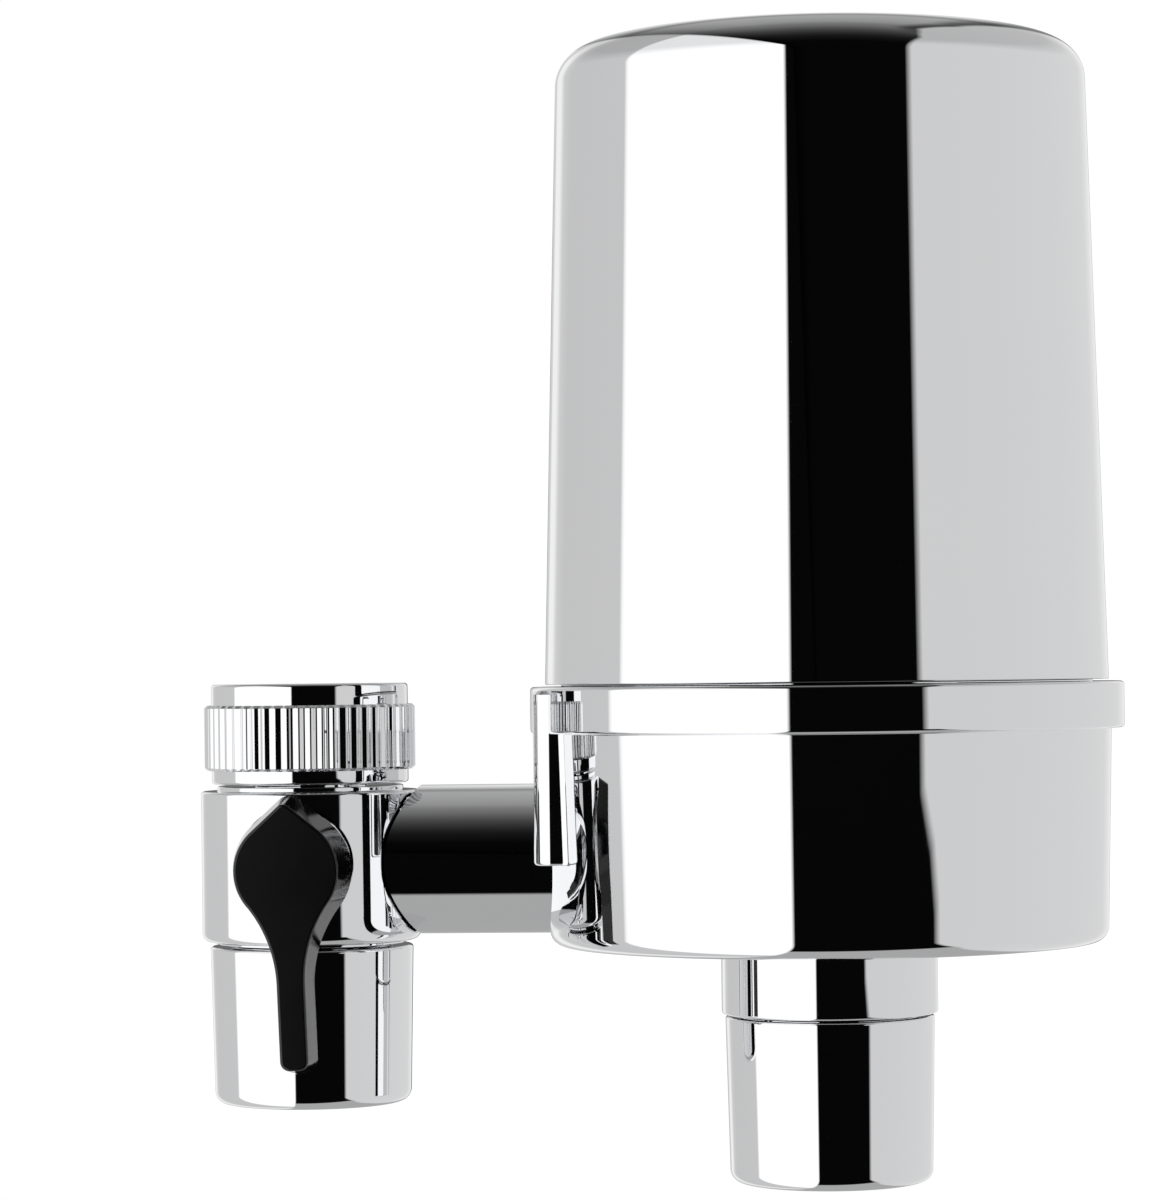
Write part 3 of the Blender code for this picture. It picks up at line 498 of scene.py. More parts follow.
def holes_tree(rows):
    """Round holes through a plate: one in the middle and six more on each ring round it."""
    graph, given = new_geometry_tree(f"holes_in_{rows}_rings", {
        "Pitch": "Float", "Radius": "Float", "Low": "Float", "High": "Float",
    })
    middle = graph.add("ShaderNodeCombineXYZ", None, {2: (given["Low"] + given["High"]) * 0.5})
    spots = [graph.add("GeometryNodePoints", None, {"Count": 1, "Position": middle})]
    for row in range(1, rows + 1):
        around = {"Vertices": 6 * row, "Radius": given["Pitch"] * row}
        ring = graph.add("GeometryNodeMeshCircle", None, around)
        lifted = graph.add("GeometryNodeSetPosition", None, {"Geometry": ring, "Offset": middle})
        spots.append(graph.add("GeometryNodeMeshToPoints", None, {"Mesh": lifted}))
    joined = graph.add("GeometryNodeJoinGeometry")
    for spot in reversed(spots):
        graph.tree.links.new(spot.socket, joined.socket.node.inputs[0])
    sizes = {"Vertices": HOLE_STEPS, "Radius": given["Radius"], "Depth": given["High"] - given["Low"]}
    drill = graph.add("GeometryNodeMeshCylinder", None, sizes)
    drills = graph.add("GeometryNodeInstanceOnPoints", None, {"Points": joined, "Instance": drill})
    real = graph.add("GeometryNodeRealizeInstances", None, {"Geometry": drills})
    settings = {"operation": "DIFFERENCE", "solver": "EXACT"}
    pierced = graph.add("GeometryNodeMeshBoolean", settings, {"Mesh 1": given["Geometry"], "Mesh 2": real})
    return close_geometry_tree(graph, pierced, given["Finish"])


def windows_tree():
    """Round-cornered windows in columns and rows through a sleeve."""
    graph, given = new_geometry_tree("windows", {
        "Columns": "Int", "Rows": "Int", "Radius": "Float", "Low": "Float", "Rise": "Float",
        "Width": "Float", "Height": "Float", "Corner": "Float", "Reach": "Float",
    })
    outline = graph.add("GeometryNodeCurvePrimitiveQuadrilateral", None, {
        "Width": given["Width"], "Height": given["Height"],
    })
    soft = graph.add("GeometryNodeFilletCurve", {"mode": "POLY"}, {
        "Curve": outline, "Count": 5, "Radius": given["Corner"],
    })
    filled = graph.add("GeometryNodeFillCurve", {"mode": "NGONS"}, {"Curve": soft})
    way = graph.add("ShaderNodeCombineXYZ", None, {2: given["Reach"]})
    raised = graph.add("GeometryNodeExtrudeMesh", {"mode": "FACES"}, {
        "Mesh": filled, "Offset": way, "Offset Scale": 1.0, "Individual": False,
    })
    back = graph.add("GeometryNodeFlipFaces", None, {"Mesh": filled})
    block = graph.add("GeometryNodeJoinGeometry", None, {0: raised})
    graph.tree.links.new(back.socket, block.socket.node.inputs[0])
    closed = graph.add("GeometryNodeMergeByDistance", None, {"Geometry": block, "Distance": 0.001 * MM})
    around = {"Vertices": given["Columns"], "Radius": given["Radius"]}
    ring = graph.add("GeometryNodeMeshCircle", None, around)
    step = graph.add("ShaderNodeCombineXYZ", None, {2: given["Rise"]})
    start = graph.add("ShaderNodeCombineXYZ", None, {2: given["Low"] + given["Height"] * 0.5})
    line = graph.add("GeometryNodeMeshLine", {"mode": "OFFSET"}, {
        "Count": given["Rows"], "Start Location": start, "Offset": step,
    })
    levels = graph.add("GeometryNodeInstanceOnPoints", None, {"Points": line, "Instance": ring})
    spots = graph.add("GeometryNodeRealizeInstances", None, {"Geometry": levels})
    half_step = given["Columns"].maths("DIVIDE", math.pi, given["Columns"])
    half = graph.add("ShaderNodeCombineXYZ", None, {2: half_step})
    shifted = graph.add("GeometryNodeTransform", None, {"Geometry": spots, "Rotation": half})
    place = graph.add("GeometryNodeInputPosition")
    split = graph.add("ShaderNodeSeparateXYZ", None, {0: place})
    x, y, z = (Value(graph, socket) for socket in split.socket.node.outputs)
    outward = y.maths("ARCTAN2", y, x) + math.pi / 2
    facing = graph.add("ShaderNodeCombineXYZ", None, {0: math.pi / 2, 2: outward})
    cutters = graph.add("GeometryNodeInstanceOnPoints", None, {
        "Points": shifted, "Instance": closed, "Rotation": facing,
    })
    real = graph.add("GeometryNodeRealizeInstances", None, {"Geometry": cutters})
    settings = {"operation": "DIFFERENCE", "solver": "EXACT"}
    pierced = graph.add("GeometryNodeMeshBoolean", settings, {"Mesh 1": given["Geometry"], "Mesh 2": real})
    return close_geometry_tree(graph, pierced, given["Finish"])


def repeat(piece, tree, **sizes):
    """Run a Geometry Nodes tree on a piece that still lies in its axis' own frame."""
    modifier = piece.modifiers.new("repeat", "NODES")
    modifier.node_group = tree
    finish = piece.data.materials[0]
    for socket in tree.interface.items_tree:
        if socket.in_out == "INPUT" and socket.name != "Geometry":
            key = socket.name.lower().replace(" ", "_").replace("-", "_")
            modifier[socket.identifier] = finish if key == "finish" else sizes[key]
    return settle(piece)


GROOVES = grooves_tree()
HOLES = holes_tree(2)
WINDOWS = windows_tree()


def turned(name, corners, material, steps=128, closed=True):
    """A turned piece in its axis' own frame, from corners with fillets."""
    return piece_from(name, spun(rounded(corners, closed), steps, closed), Matrix.Identity(4), material)


def put(piece, axis):
    piece.data.transform(axis)
    return piece


def rod(name, radius, bottom, top, axis, steps=64):
    """A plain cutter on an axis."""
    corners = [(0.0, top, 0.0), (radius, top, 0.0), (radius, bottom, 0.0), (0.0, bottom, 0.0)]
    return put(turned(name, corners, CHROME, steps, closed=False), axis)


def threaded(piece, radius, low, high, depth, pitch=THREAD_PITCH, run_out=0.7 * MM, steepness=1.3):
    """Cut a fine helical thread into a wall: inwards of a rod, or outwards of a bore if depth is negative."""
    repeat(
        piece, GROOVES, count=1.0, turns_per_metre=1.0 / pitch, depth=-depth, low=low, high=high,
        run_out=run_out, inner=radius - 0.05 * MM, outer=radius + 0.05 * MM, steepness=steepness,
    )


def collar_nut():
    """Swivel nut: threaded bore, inward ledge, plain neck and a knurled band."""
    low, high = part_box("collar_nut")
    spout_r = radius_of("spout_washer") + GAP
    shank_r = 9.0 * MM
    neck_r = spout_r + 2.75 * MM
    knurl_r = high.x
    ledge = low.z + 3.5 * MM
    top = high.z - 2.9 * MM
    bottom = top - 9.1 * MM
    edge = 0.4 * MM
    corners = [
        (spout_r, high.z, 0.3 * MM),
        (neck_r, high.z, 0.45 * MM),
        (neck_r, top, 0.0),
        (knurl_r - edge, top, 0.12 * MM),
        (knurl_r, top - edge, 0.12 * MM),
        (knurl_r, bottom + edge, 0.12 * MM),
        (knurl_r - edge, bottom, 0.12 * MM),
        (neck_r, bottom, 0.0),
        (neck_r, low.z, 0.45 * MM),
        (shank_r, low.z, 0.2 * MM),
        (shank_r, ledge, 0.2 * MM),
        (spout_r, ledge, 0.0),
        *level_run(spout_r, ledge, high.z - 0.4 * MM),
    ]
    ribs = 56
    nut = turned("collar_nut_fine", corners, CHROME, ribs * 10)
    repeat(
        nut, GROOVES, count=float(ribs), turns_per_metre=0.0, depth=-0.33 * MM, low=bottom - edge,
        high=top + edge, run_out=0.01 * MM, inner=neck_r + 0.1 * MM, outer=knurl_r + GAP, steepness=1.25,
    )
    threaded(nut, spout_r, ledge + 0.5 * MM, high.z - 0.5 * MM, -0.5 * MM, run_out=0.8 * MM)
    dress(nut, "collar", "chrome", "collar_nut", sharp=31.0)


def inlet_parts():
    """Sleeve, screen and washer inside the collar nut."""
    held_r = radius_of("spout_washer")
    low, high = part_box("inlet_sleeve")
    bore = 5.5 * MM
    flange = high.z - 1.8 * MM
    stop = low.z + 3.0 * MM
    tail_r = 7.7 * MM
    shank_r = tail_r + 1.0 * MM
    corners = [
        (bore, high.z, 0.3 * MM),
        (held_r, high.z, 0.25 * MM),
        (held_r, flange, 0.25 * MM),
        (shank_r, flange, 0.2 * MM),
        (shank_r, stop, 0.2 * MM),
        (tail_r, stop, 0.1 * MM),
        *level_run(tail_r, stop - 0.2 * MM, low.z + 0.3 * MM),
        (tail_r, low.z, 0.25 * MM),
        (bore, low.z, 0.25 * MM),
    ]
    sleeve = turned("inlet_sleeve_fine", corners, CHROME)
    threaded(sleeve, tail_r, low.z + 0.2 * MM, stop - 0.2 * MM, 0.3 * MM)
    dress(sleeve, "main", "chrome", "inlet_sleeve")

    low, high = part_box("inlet_screen")
    edge = 0.15 * MM
    corners = [(0.0, high.z, 0.0), (held_r, high.z, edge), (held_r, low.z, edge), (0.0, low.z, 0.0)]
    screen = turned("inlet_screen_fine", corners, STEEL, closed=False)
    repeat(screen, HOLES, pitch=2.4 * MM, radius=0.9 * MM, low=low.z - GAP, high=high.z + GAP)
    dress(screen, "main", "steel", "inlet_screen")

    ring_piece("spout_washer", held_r, 6.5 * MM, VALVE_AXIS, RUBBER, 0.3 * MM)


def ring_piece(node, outer, inner, axis, material, edge, body="main", slot="rubber"):
    """A flat ring with softened edges, as high as its node."""
    low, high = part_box(node)
    corners = [(inner, high.z, edge), (outer, high.z, edge), (outer, low.z, edge), (inner, low.z, edge)]
    ring = put(turned(node + "_fine", corners, material), axis)
    dress(ring, body, slot, node)


def valve_body():
    """Round diverter body, bored across for the spindle and bored in its side for the arm."""
    low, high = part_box("valve_body")
    tail_r = 8.0 * MM
    collar_r = BODY_R - 2.3 * MM
    socket_floor = high.z - 3.0 * MM
    top = high.z - 0.7 * MM
    bottom = top - 21.0 * MM
    collar_low = bottom - 0.4 * MM
    corners = [
        (tail_r, high.z, 0.2 * MM),
        (collar_r, high.z, 0.2 * MM),
        (collar_r, top, 0.15 * MM),
        (BODY_R, top, 0.45 * MM),
        (BODY_R, bottom, 1.2 * MM),
        (collar_r, bottom, 0.1 * MM),
        (collar_r, collar_low, 0.1 * MM),
        (TAP_SPIGOT_R, collar_low, 0.2 * MM),
        *level_run(TAP_SPIGOT_R, collar_low - 0.6 * MM, low.z + 0.4 * MM),
        (TAP_SPIGOT_R, low.z, 0.35 * MM),
        (SPIGOT_BORE, low.z, 0.2 * MM),
        (SPIGOT_BORE, collar_low, 0.3 * MM),
        (PORT_R, collar_low, 0.2 * MM),
        (PORT_R, socket_floor, 0.2 * MM),
        (tail_r, socket_floor, 0.2 * MM),
    ]
    body = turned("valve_body_fine", corners, CHROME, FINE_STEPS)
    threaded(body, TAP_SPIGOT_R, low.z + 0.3 * MM, collar_low - 0.5 * MM, 0.4 * MM)
    cut(body, rod("spindle_bore", PLUG_R + GAP, PLUG_REAR - GAP, PAST, LEVER_AXIS))
    cut(body, rod("gland_bore", GLAND_R + GAP, GLAND_BACK - GAP, PAST, LEVER_AXIS, 96))
    cut(body, rod("side_port", PORT_R, 0.0, 12.0 * MM, ARM_AXIS))
    cut(body, rod("side_socket", ARM_TAIL_R + GAP, ARM_START - GAP, PAST, ARM_AXIS))
    dress(body, "main", "chrome", "valve_body")


def groove_corners(radius, middle):
    """A seal's groove in a rod's wall."""
    floor_r = radius - GROOVE_DEPTH
    upper = middle + 0.95 * MM
    lower = middle - 0.95 * MM
    lip = 0.1 * MM
    root = 0.2 * MM
    return [(radius, upper, lip), (floor_r, upper, root), (floor_r, lower, root), (radius, lower, lip)]


def seal(node, rod_r, height, axis, body):
    """An O-ring between a rod's groove and the bore round the rod."""
    bore_r = rod_r + GAP
    floor_r = rod_r - GROOVE_DEPTH
    middle = (bore_r + floor_r) / 2
    section = (bore_r - floor_r) / 2 - SEAL_GAP
    turns = [math.tau * i / 20 for i in range(20)]
    corners = [(middle + section * math.cos(t), height - section * math.sin(t), 0.0) for t in turns]
    dress(put(turned(node + "_fine", corners, RUBBER, 96), axis), body, "rubber", node, sharp=60.0)


def spindle_parts():
    """Diverting plug with its seals, and the gland that keeps it in."""
    front = GLAND_BACK - GAP
    stem_r = 3.2 * MM
    way_r = 3.4 * MM
    grooves = (front - SEAL_INSET, PLUG_REAR + SEAL_INSET)
    corners = [
        (0.0, GLAND_FRONT, 0.0),
        (stem_r, GLAND_FRONT, 0.1 * MM),
        (stem_r, front, 0.2 * MM),
        (PLUG_R, front, 0.3 * MM),
        *groove_corners(PLUG_R, grooves[0]),
        *groove_corners(PLUG_R, grooves[1]),
        (PLUG_R, PLUG_REAR, 0.3 * MM),
        (0.0, PLUG_REAR, 0.0),
    ]
    plug = put(turned("spindle_fine", corners, BRASS, closed=False), LEVER_AXIS)
    half = 2.2 * MM
    chamfer = 0.25 * MM
    rings = [(square(half), GLAND_FRONT - GAP), (square(half), SQUARE_END - chamfer)]
    rings.append((square(half - chamfer), SQUARE_END))
    cut(plug, piece_from("square_end", lofted(rings), LEVER_AXIS, BRASS), "UNION")
    cut(plug, rod("cross_way", way_r, -PAST / 2, PAST / 2, ARM_AXIS))
    cut(plug, rod("top_way", way_r, ARM_Z, ARM_Z + PAST / 2, VALVE_AXIS))
    dress(plug, "handle", "brass", "spindle")
    for node, height in zip(("spindle_oring_front", "spindle_oring_rear"), grooves):
        seal(node, PLUG_R, height, LEVER_AXIS, "handle")

    corners = [
        (stem_r + GAP, GLAND_FRONT, 0.25 * MM),
        (GLAND_R, GLAND_FRONT, 0.3 * MM),
        *level_run(GLAND_R, GLAND_FRONT - 0.5 * MM, GLAND_BACK + 0.4 * MM),
        (GLAND_R, GLAND_BACK, 0.3 * MM),
        (stem_r + GAP, GLAND_BACK, 0.25 * MM),
    ]
    gland = turned("spindle_gland_fine", corners, CHROME)
    threaded(gland, GLAND_R, GLAND_BACK + 0.3 * MM, GLAND_FRONT - 0.4 * MM, 0.3 * MM)
    dress(put(gland, LEVER_AXIS), "main", "chrome", "spindle_gland")


def arc(centre, radius, start, end, steps):
    """Points along an arc but for its first, with the angles in radians from +Y towards +X."""
    x, y = centre
    turns = [start + (end - start) * i / steps for i in range(1, steps + 1)]
    return [(x + radius * math.sin(turn), y + radius * math.cos(turn)) for turn in turns]


def lever_outline(grow):
    """The teardrop head and its stem, offset outwards by grow and by less at the stem."""
    head_r = 7.2 * MM
    neck_r = 18.0 * MM
    tip_r = 1.2 * MM
    peak = 2.3 * MM
    stem_half = 1.95 * MM + grow * (0.4 if grow > 0.0 else 1.0)
    stem_low = -27.6 * MM - grow
    head_y = -0.6 * MM
    slope = math.acos(head_r / (head_r + peak))
    tip_y = head_y + (head_r - tip_r) / math.cos(slope)
    neck_x = stem_half + neck_r - grow
    neck_y = head_y - math.sqrt((head_r + neck_r) ** 2 - neck_x ** 2)
    join = math.asin(neck_x / (head_r + neck_r))
    end_r = min(1.3 * MM + grow, stem_half)
    end_x = stem_half - end_r
    right = [(0.0, tip_y + tip_r + grow)]
    right += arc((0.0, tip_y), tip_r + grow, 0.0, slope, 8)
    right += arc((0.0, head_y), head_r + grow, slope, math.pi - join, 56)
    right += arc((neck_x, neck_y), neck_r - grow, -join, -math.pi / 2, 28)
    right.append((stem_half, stem_low + end_r))
    right += arc((end_x, stem_low + end_r), end_r, math.pi / 2, math.pi, 8)
    left = [(-x, y) for x, y in reversed(right[1:])]
    return left + right


def lever():
    """Black teardrop lever that widens towards its back, with a square socket for the spindle."""
    bevel = 0.4 * MM
    flare = 1.0 * MM
    back = GLAND_FRONT + GAP
    front = back + 6.0 * MM
    rings = [(lever_outline(flare - 0.2 * MM), back), (lever_outline(flare), back + 0.2 * MM)]
    rings.append((lever_outline(0.0), front - bevel))
    for i in range(1, 5):
        angle = math.pi / 2 * i / 4
        rings.append((lever_outline(bevel * (math.cos(angle) - 1)), front - bevel + bevel * math.sin(angle)))
    tilt = math.radians(2.0)
    handle_axis = LEVER_AXIS @ Matrix.Rotation(tilt, 4, "Z")
    handle = piece_from("lever_fine", lofted(rings), handle_axis, LEVER_PLASTIC)
    socket = square(2.5 * MM)
    hollow = lofted([(socket, back - GAP), (socket, SQUARE_END + GAP)])
    cut(handle, piece_from("lever_socket", hollow, handle_axis, BRASS))
    dress(handle, "handle", "black_plastic", "lever")


def outlet_parts(names, top_r, spigot_r, axis, lip=0.0):
    """Screwed outlet shell, its mouth a lip lower than the solid's, with its washer and insert."""
    washer_section = 3.4 * MM
    mouth_r = 9.9 * MM
    flange = 2.3 * MM
    shell_node, washer_node, insert_node = names
    low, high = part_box(shell_node)
    face, rim = (corner.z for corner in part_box(insert_node))
    mouth = low.z - lip
    thread_r = spigot_r + GAP
    ledge = rim - flange - GAP
    corners = [
        (thread_r, high.z, 0.3 * MM),
        (top_r, high.z, 0.4 * MM),
        (top_r - 0.5 * MM, mouth, 1.7 * MM),
        (mouth_r, mouth, 0.3 * MM),
        (mouth_r, ledge, 0.15 * MM),
        (thread_r, ledge, 0.15 * MM),
        *level_run(thread_r, ledge, high.z - 0.4 * MM, 0.16 * MM),
    ]
    shell = turned(shell_node + "_fine", corners, CHROME, FINE_STEPS)
    threaded(shell, thread_r, ledge + 2.5 * MM, high.z - 0.5 * MM, -0.4 * MM)
    dress(put(shell, axis), "main", "chrome", shell_node)

    ring_piece(washer_node, spigot_r, spigot_r - washer_section, axis, RUBBER, 0.3 * MM)

    barrel = mouth_r - GAP
    inner = barrel - 1.8 * MM
    plate = face + 0.8 * MM
    corners = [
        (0.0, plate, 0.0),
        (inner, plate, 0.5 * MM),
        (inner, rim, 0.3 * MM),
        (spigot_r, rim, 0.2 * MM),
        (spigot_r, rim - flange, 0.2 * MM),
        (barrel, rim - flange, 0.1 * MM),
        (barrel, face, 0.5 * MM),
        (0.0, face, 0.0),
    ]
    insert = turned(insert_node + "_fine", corners, WHITE, closed=False)
    repeat(insert, HOLES, pitch=2.75 * MM, radius=0.95 * MM, low=face - GAP, high=plate + GAP)
    dress(put(insert, axis), "main", "white_plastic", insert_node)


def arm_tube():
    """Round arm, hollowed at its near end to sit round the valve body, with a grooved tail at each end."""
    shoulder = ARM_END - 8.0 * MM
    hollow_r = BODY_R + GAP
    hollow_end = 16.5 * MM
    edge = 0.15 * MM
    soft = 0.2 * MM
    bore = ARM_TAIL_R - 2.2 * MM
    seats = (ARM_START + SEAL_INSET, ARM_END - SEAL_INSET)
    turns = [math.tau * i / FINE_STEPS for i in range(FINE_STEPS)]
    work = bmesh.new()

    def ring(radius, place):
        """A loop of points, square to the arm where its place is a number and shaped where it is a list."""
        places = place if isinstance(place, list) else [place] * FINE_STEPS
        return [
            work.verts.new((x, radius * math.sin(turn), ARM_Z + radius * math.cos(turn)))
            for x, turn in zip(places, turns)
        ]

    def hollowed(radius, shift=0.0):
        return [math.sqrt(hollow_r ** 2 - (radius * math.sin(turn)) ** 2) + shift for turn in turns]

    def groove(middle):
        return [ring(radius, place) for radius, place, fillet in groove_corners(ARM_TAIL_R, middle)[::-1]]

    loops = [ring(ARM_TAIL_R, hollowed(ARM_TAIL_R)), ring(ARM_R - edge, hollowed(ARM_R - edge))]
    loops.append(ring(ARM_R, hollowed(ARM_R, edge)))
    loops += [ring(ARM_R, hollow_end + (shoulder - edge - hollow_end) * i / 4) for i in range(5)]
    loops += [ring(ARM_R - edge, shoulder), ring(ARM_TAIL_R, shoulder), *groove(seats[1])]
    loops += [ring(ARM_TAIL_R, ARM_END - soft), ring(ARM_TAIL_R - soft, ARM_END)]
    loops += [ring(bore, ARM_END), ring(bore, ARM_START)]
    loops += [ring(ARM_TAIL_R - soft, ARM_START), ring(ARM_TAIL_R, ARM_START + soft), *groove(seats[0])]
    skin(work, loops + loops[:1])
    arm = piece_from("arm_tube_fine", work, Matrix.Identity(4), CHROME)
    dress(arm, "main", "chrome", "arm_tube")
    for node, place in zip(("arm_oring_valve", "arm_oring_base"), seats):
        seal(node, ARM_TAIL_R, place, ARM_AXIS, "main")


def boss_outline(reach, half_width, corner, cup_r, inner, inset):
    """Plan of the saddle boss, on the -X side: a flat face, two round corners, and fillets onto the cup."""
    hollow = 1.2 * MM + inset
    centre_y = half_width - inset + hollow
    centre_x = -math.sqrt((cup_r + hollow) ** 2 - centre_y ** 2)
    meet = math.atan2(centre_y, -centre_x)
    front = [(inset - reach, (half_width - corner) * i / 8) for i in range(8)]
    front.append((inset - reach, half_width - corner))
    bend = arc((corner - reach, half_width - corner), corner - inset, -math.pi / 2, 0.0, 12)
    side = [(centre_x, half_width - inset)]
    fillet = arc((centre_x, centre_y), hollow, math.pi, math.pi / 2 + meet, 8)
    angles = [meet * (1 - i / 16) for i in range(16)]
    back = [(-inner * math.cos(angle), inner * math.sin(angle)) for angle in angles]
    half = front + bend + side + fillet + back
    return half + [(-inner, 0.0)] + [(x, -y) for x, y in reversed(half[1:])]


def cover_thread(piece, radius, low, high, depth):
    """The coarse thread that the cover and the base share."""
    threaded(piece, radius, low, high, depth, COVER_PITCH, 0.9 * MM, 1.8)


def filter_base():
    """Base in one piece: ring, cup, saddle boss, arm socket, cartridge tower and outlet neck."""
    low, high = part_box("filter_base")
    gasket_r = radius_of("cover_gasket")
    ring_r = high.y
    ring_low = high.z - 6.35 * MM
    cup_r = ring_r - 1.8 * MM
    cup_low = -36.6 * MM
    draft = 0.7 * MM
    floor = cup_low + 3.0 * MM
    bore = gasket_r + GAP
    cup_bore = bore - 1.7 * MM
    ledge = bottom_of("cover_gasket") - SEAL_GAP
    neck_r = 15.0 * MM
    neck_low = cup_low - 9.8 * MM
    nipple_bore = 10.3 * MM
    nipple_floor = bottom_of("cartridge_bottom_cap") - GAP
    tower_top = -12.0 * MM
    corners = [
        (bore, high.z, 0.25 * MM),
        (ring_r, high.z, 0.5 * MM),
        (ring_r, ring_low, 0.5 * MM),
        (cup_r, ring_low, 0.15 * MM),
        (cup_r - draft, cup_low, 2.1 * MM),
        (neck_r, cup_low, 0.3 * MM),
        (neck_r, neck_low, 0.4 * MM),
        (HOUSING_SPIGOT_R, neck_low, 0.15 * MM),
        *level_run(HOUSING_SPIGOT_R, neck_low - 0.5 * MM, low.z + 0.4 * MM),
        (HOUSING_SPIGOT_R, low.z, 0.35 * MM),
        (SPIGOT_BORE, low.z, 0.2 * MM),
        (SPIGOT_BORE, nipple_floor, 0.2 * MM),
        (nipple_bore, nipple_floor, 0.3 * MM),
        (nipple_bore, tower_top, 0.4 * MM),
        (TOWER_R, tower_top, 0.4 * MM),
        (TOWER_R, floor, 0.8 * MM),
        (cup_bore, floor, 1.5 * MM),
        (cup_bore, ledge, 0.2 * MM),
        (bore, ledge, 0.2 * MM),
        *level_run(bore, ledge + 1.8 * MM, high.z - 0.5 * MM, 0.2 * MM),
    ]
    base = turned("filter_base_fine", corners, CHROME, FINE_STEPS)
    threaded(base, HOUSING_SPIGOT_R, low.z + 0.3 * MM, neck_low - 0.4 * MM, 0.4 * MM)
    cover_thread(base, bore, ledge + 2.0 * MM, high.z - 0.6 * MM, -0.7 * MM)
    put(base, HOUSING_AXIS)
    boss_r = HOUSING_X - low.x - 2.0 * MM
    boss_width = 18.0 * MM
    corner = 2.5 * MM
    boss_low = ARM_Z - 0.3 * MM
    boss_top = high.z - 0.5 * MM
    edge = 0.5 * MM
    inner = bore + 0.5 * MM

    def plan(height, inset):
        lean = draft * (ring_low - min(height, ring_low)) / (ring_low - cup_low)
        return boss_outline(boss_r, boss_width, corner, cup_r - lean, inner, inset)

    rings = []
    for i in range(5):
        angle = math.pi / 2 * i / 4
        height = boss_low + edge * (1 - math.cos(angle))
        rings.append((plan(height, edge * (1 - math.sin(angle))), height))
    for height, inset in ((ring_low, 0.0), (boss_top - edge, 0.0), (boss_top, edge)):
        rings.append((plan(height, inset), height))
    cut(base, piece_from("saddle_boss", lofted(rings), HOUSING_AXIS, CHROME), "UNION")
    socket_r = ARM_TAIL_R + GAP
    wall = 3.4 * MM
    step = HOUSING_X - cup_r + 2.8 * MM
    socket_floor = ARM_END + GAP
    socket_end = socket_floor + wall
    block_start = (step + HOUSING_X - cup_bore) / 2
    outside = low.x - GAP
    cut(base, rod("socket_block", socket_r + wall, block_start, socket_end, ARM_AXIS), "UNION")
    cut(base, rod("arm_seat", ARM_R + GAP, outside, step, ARM_AXIS, 128))
    cut(base, rod("tail_seat", socket_r, outside, socket_floor, ARM_AXIS))
    cut(base, rod("arm_way", PORT_R, outside, socket_end + GAP, ARM_AXIS))
    dress(base, "main", "chrome", "filter_base")


def cover():
    """Tall drafted cover with a rounded, slightly crowned top, and a threaded skirt."""
    low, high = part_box("cover")
    rim_r = radius_of("cover")
    rim_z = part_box("filter_base")[1].z + GAP
    crown = 1.2 * MM
    edge_z = high.z - crown
    skirt_r = radius_of("cover_gasket")
    bore = skirt_r - 2.3 * MM
    draft = math.radians(1.5)
    bore_draft = math.radians(0.25)
    top_r = rim_r - edge_z * math.tan(draft)
    fillet = 5.2 * MM
    ceiling = edge_z - 3.0 * MM
    bore_top = bore - (ceiling - low.z) * math.tan(bore_draft)
    edge_r = top_r - fillet
    dome = [(edge_r * i / 12, edge_z + crown * (1 - (i / 12) ** 2), 0.0) for i in range(13)]
    shoulder = arc((edge_r, edge_z - fillet), fillet, 0.0, math.pi / 2, 24)
    corners = [
        *dome,
        *((r, z, 0.0) for r, z in shoulder),
        (rim_r, rim_z, 0.2 * MM),
        (skirt_r, rim_z, 0.1 * MM),
        *level_run(skirt_r, rim_z - 0.4 * MM, low.z + 0.5 * MM, 0.2 * MM),
        (skirt_r, low.z, 0.4 * MM),
        (bore, low.z, 0.4 * MM),
        (bore_top, ceiling, 2.0 * MM),
        (0.0, ceiling, 0.0),
    ]
    shell = turned("cover_fine", corners, CHROME, FINE_STEPS, closed=False)
    cover_thread(shell, skirt_r, low.z + 0.8 * MM, rim_z - 0.5 * MM, 0.7 * MM)
    dress(put(shell, HOUSING_AXIS), "shell", "chrome", "cover")
    ring_piece("cover_gasket", skirt_r, skirt_r - 1.3 * MM, HOUSING_AXIS, RUBBER, 0.25 * MM, "gasket")


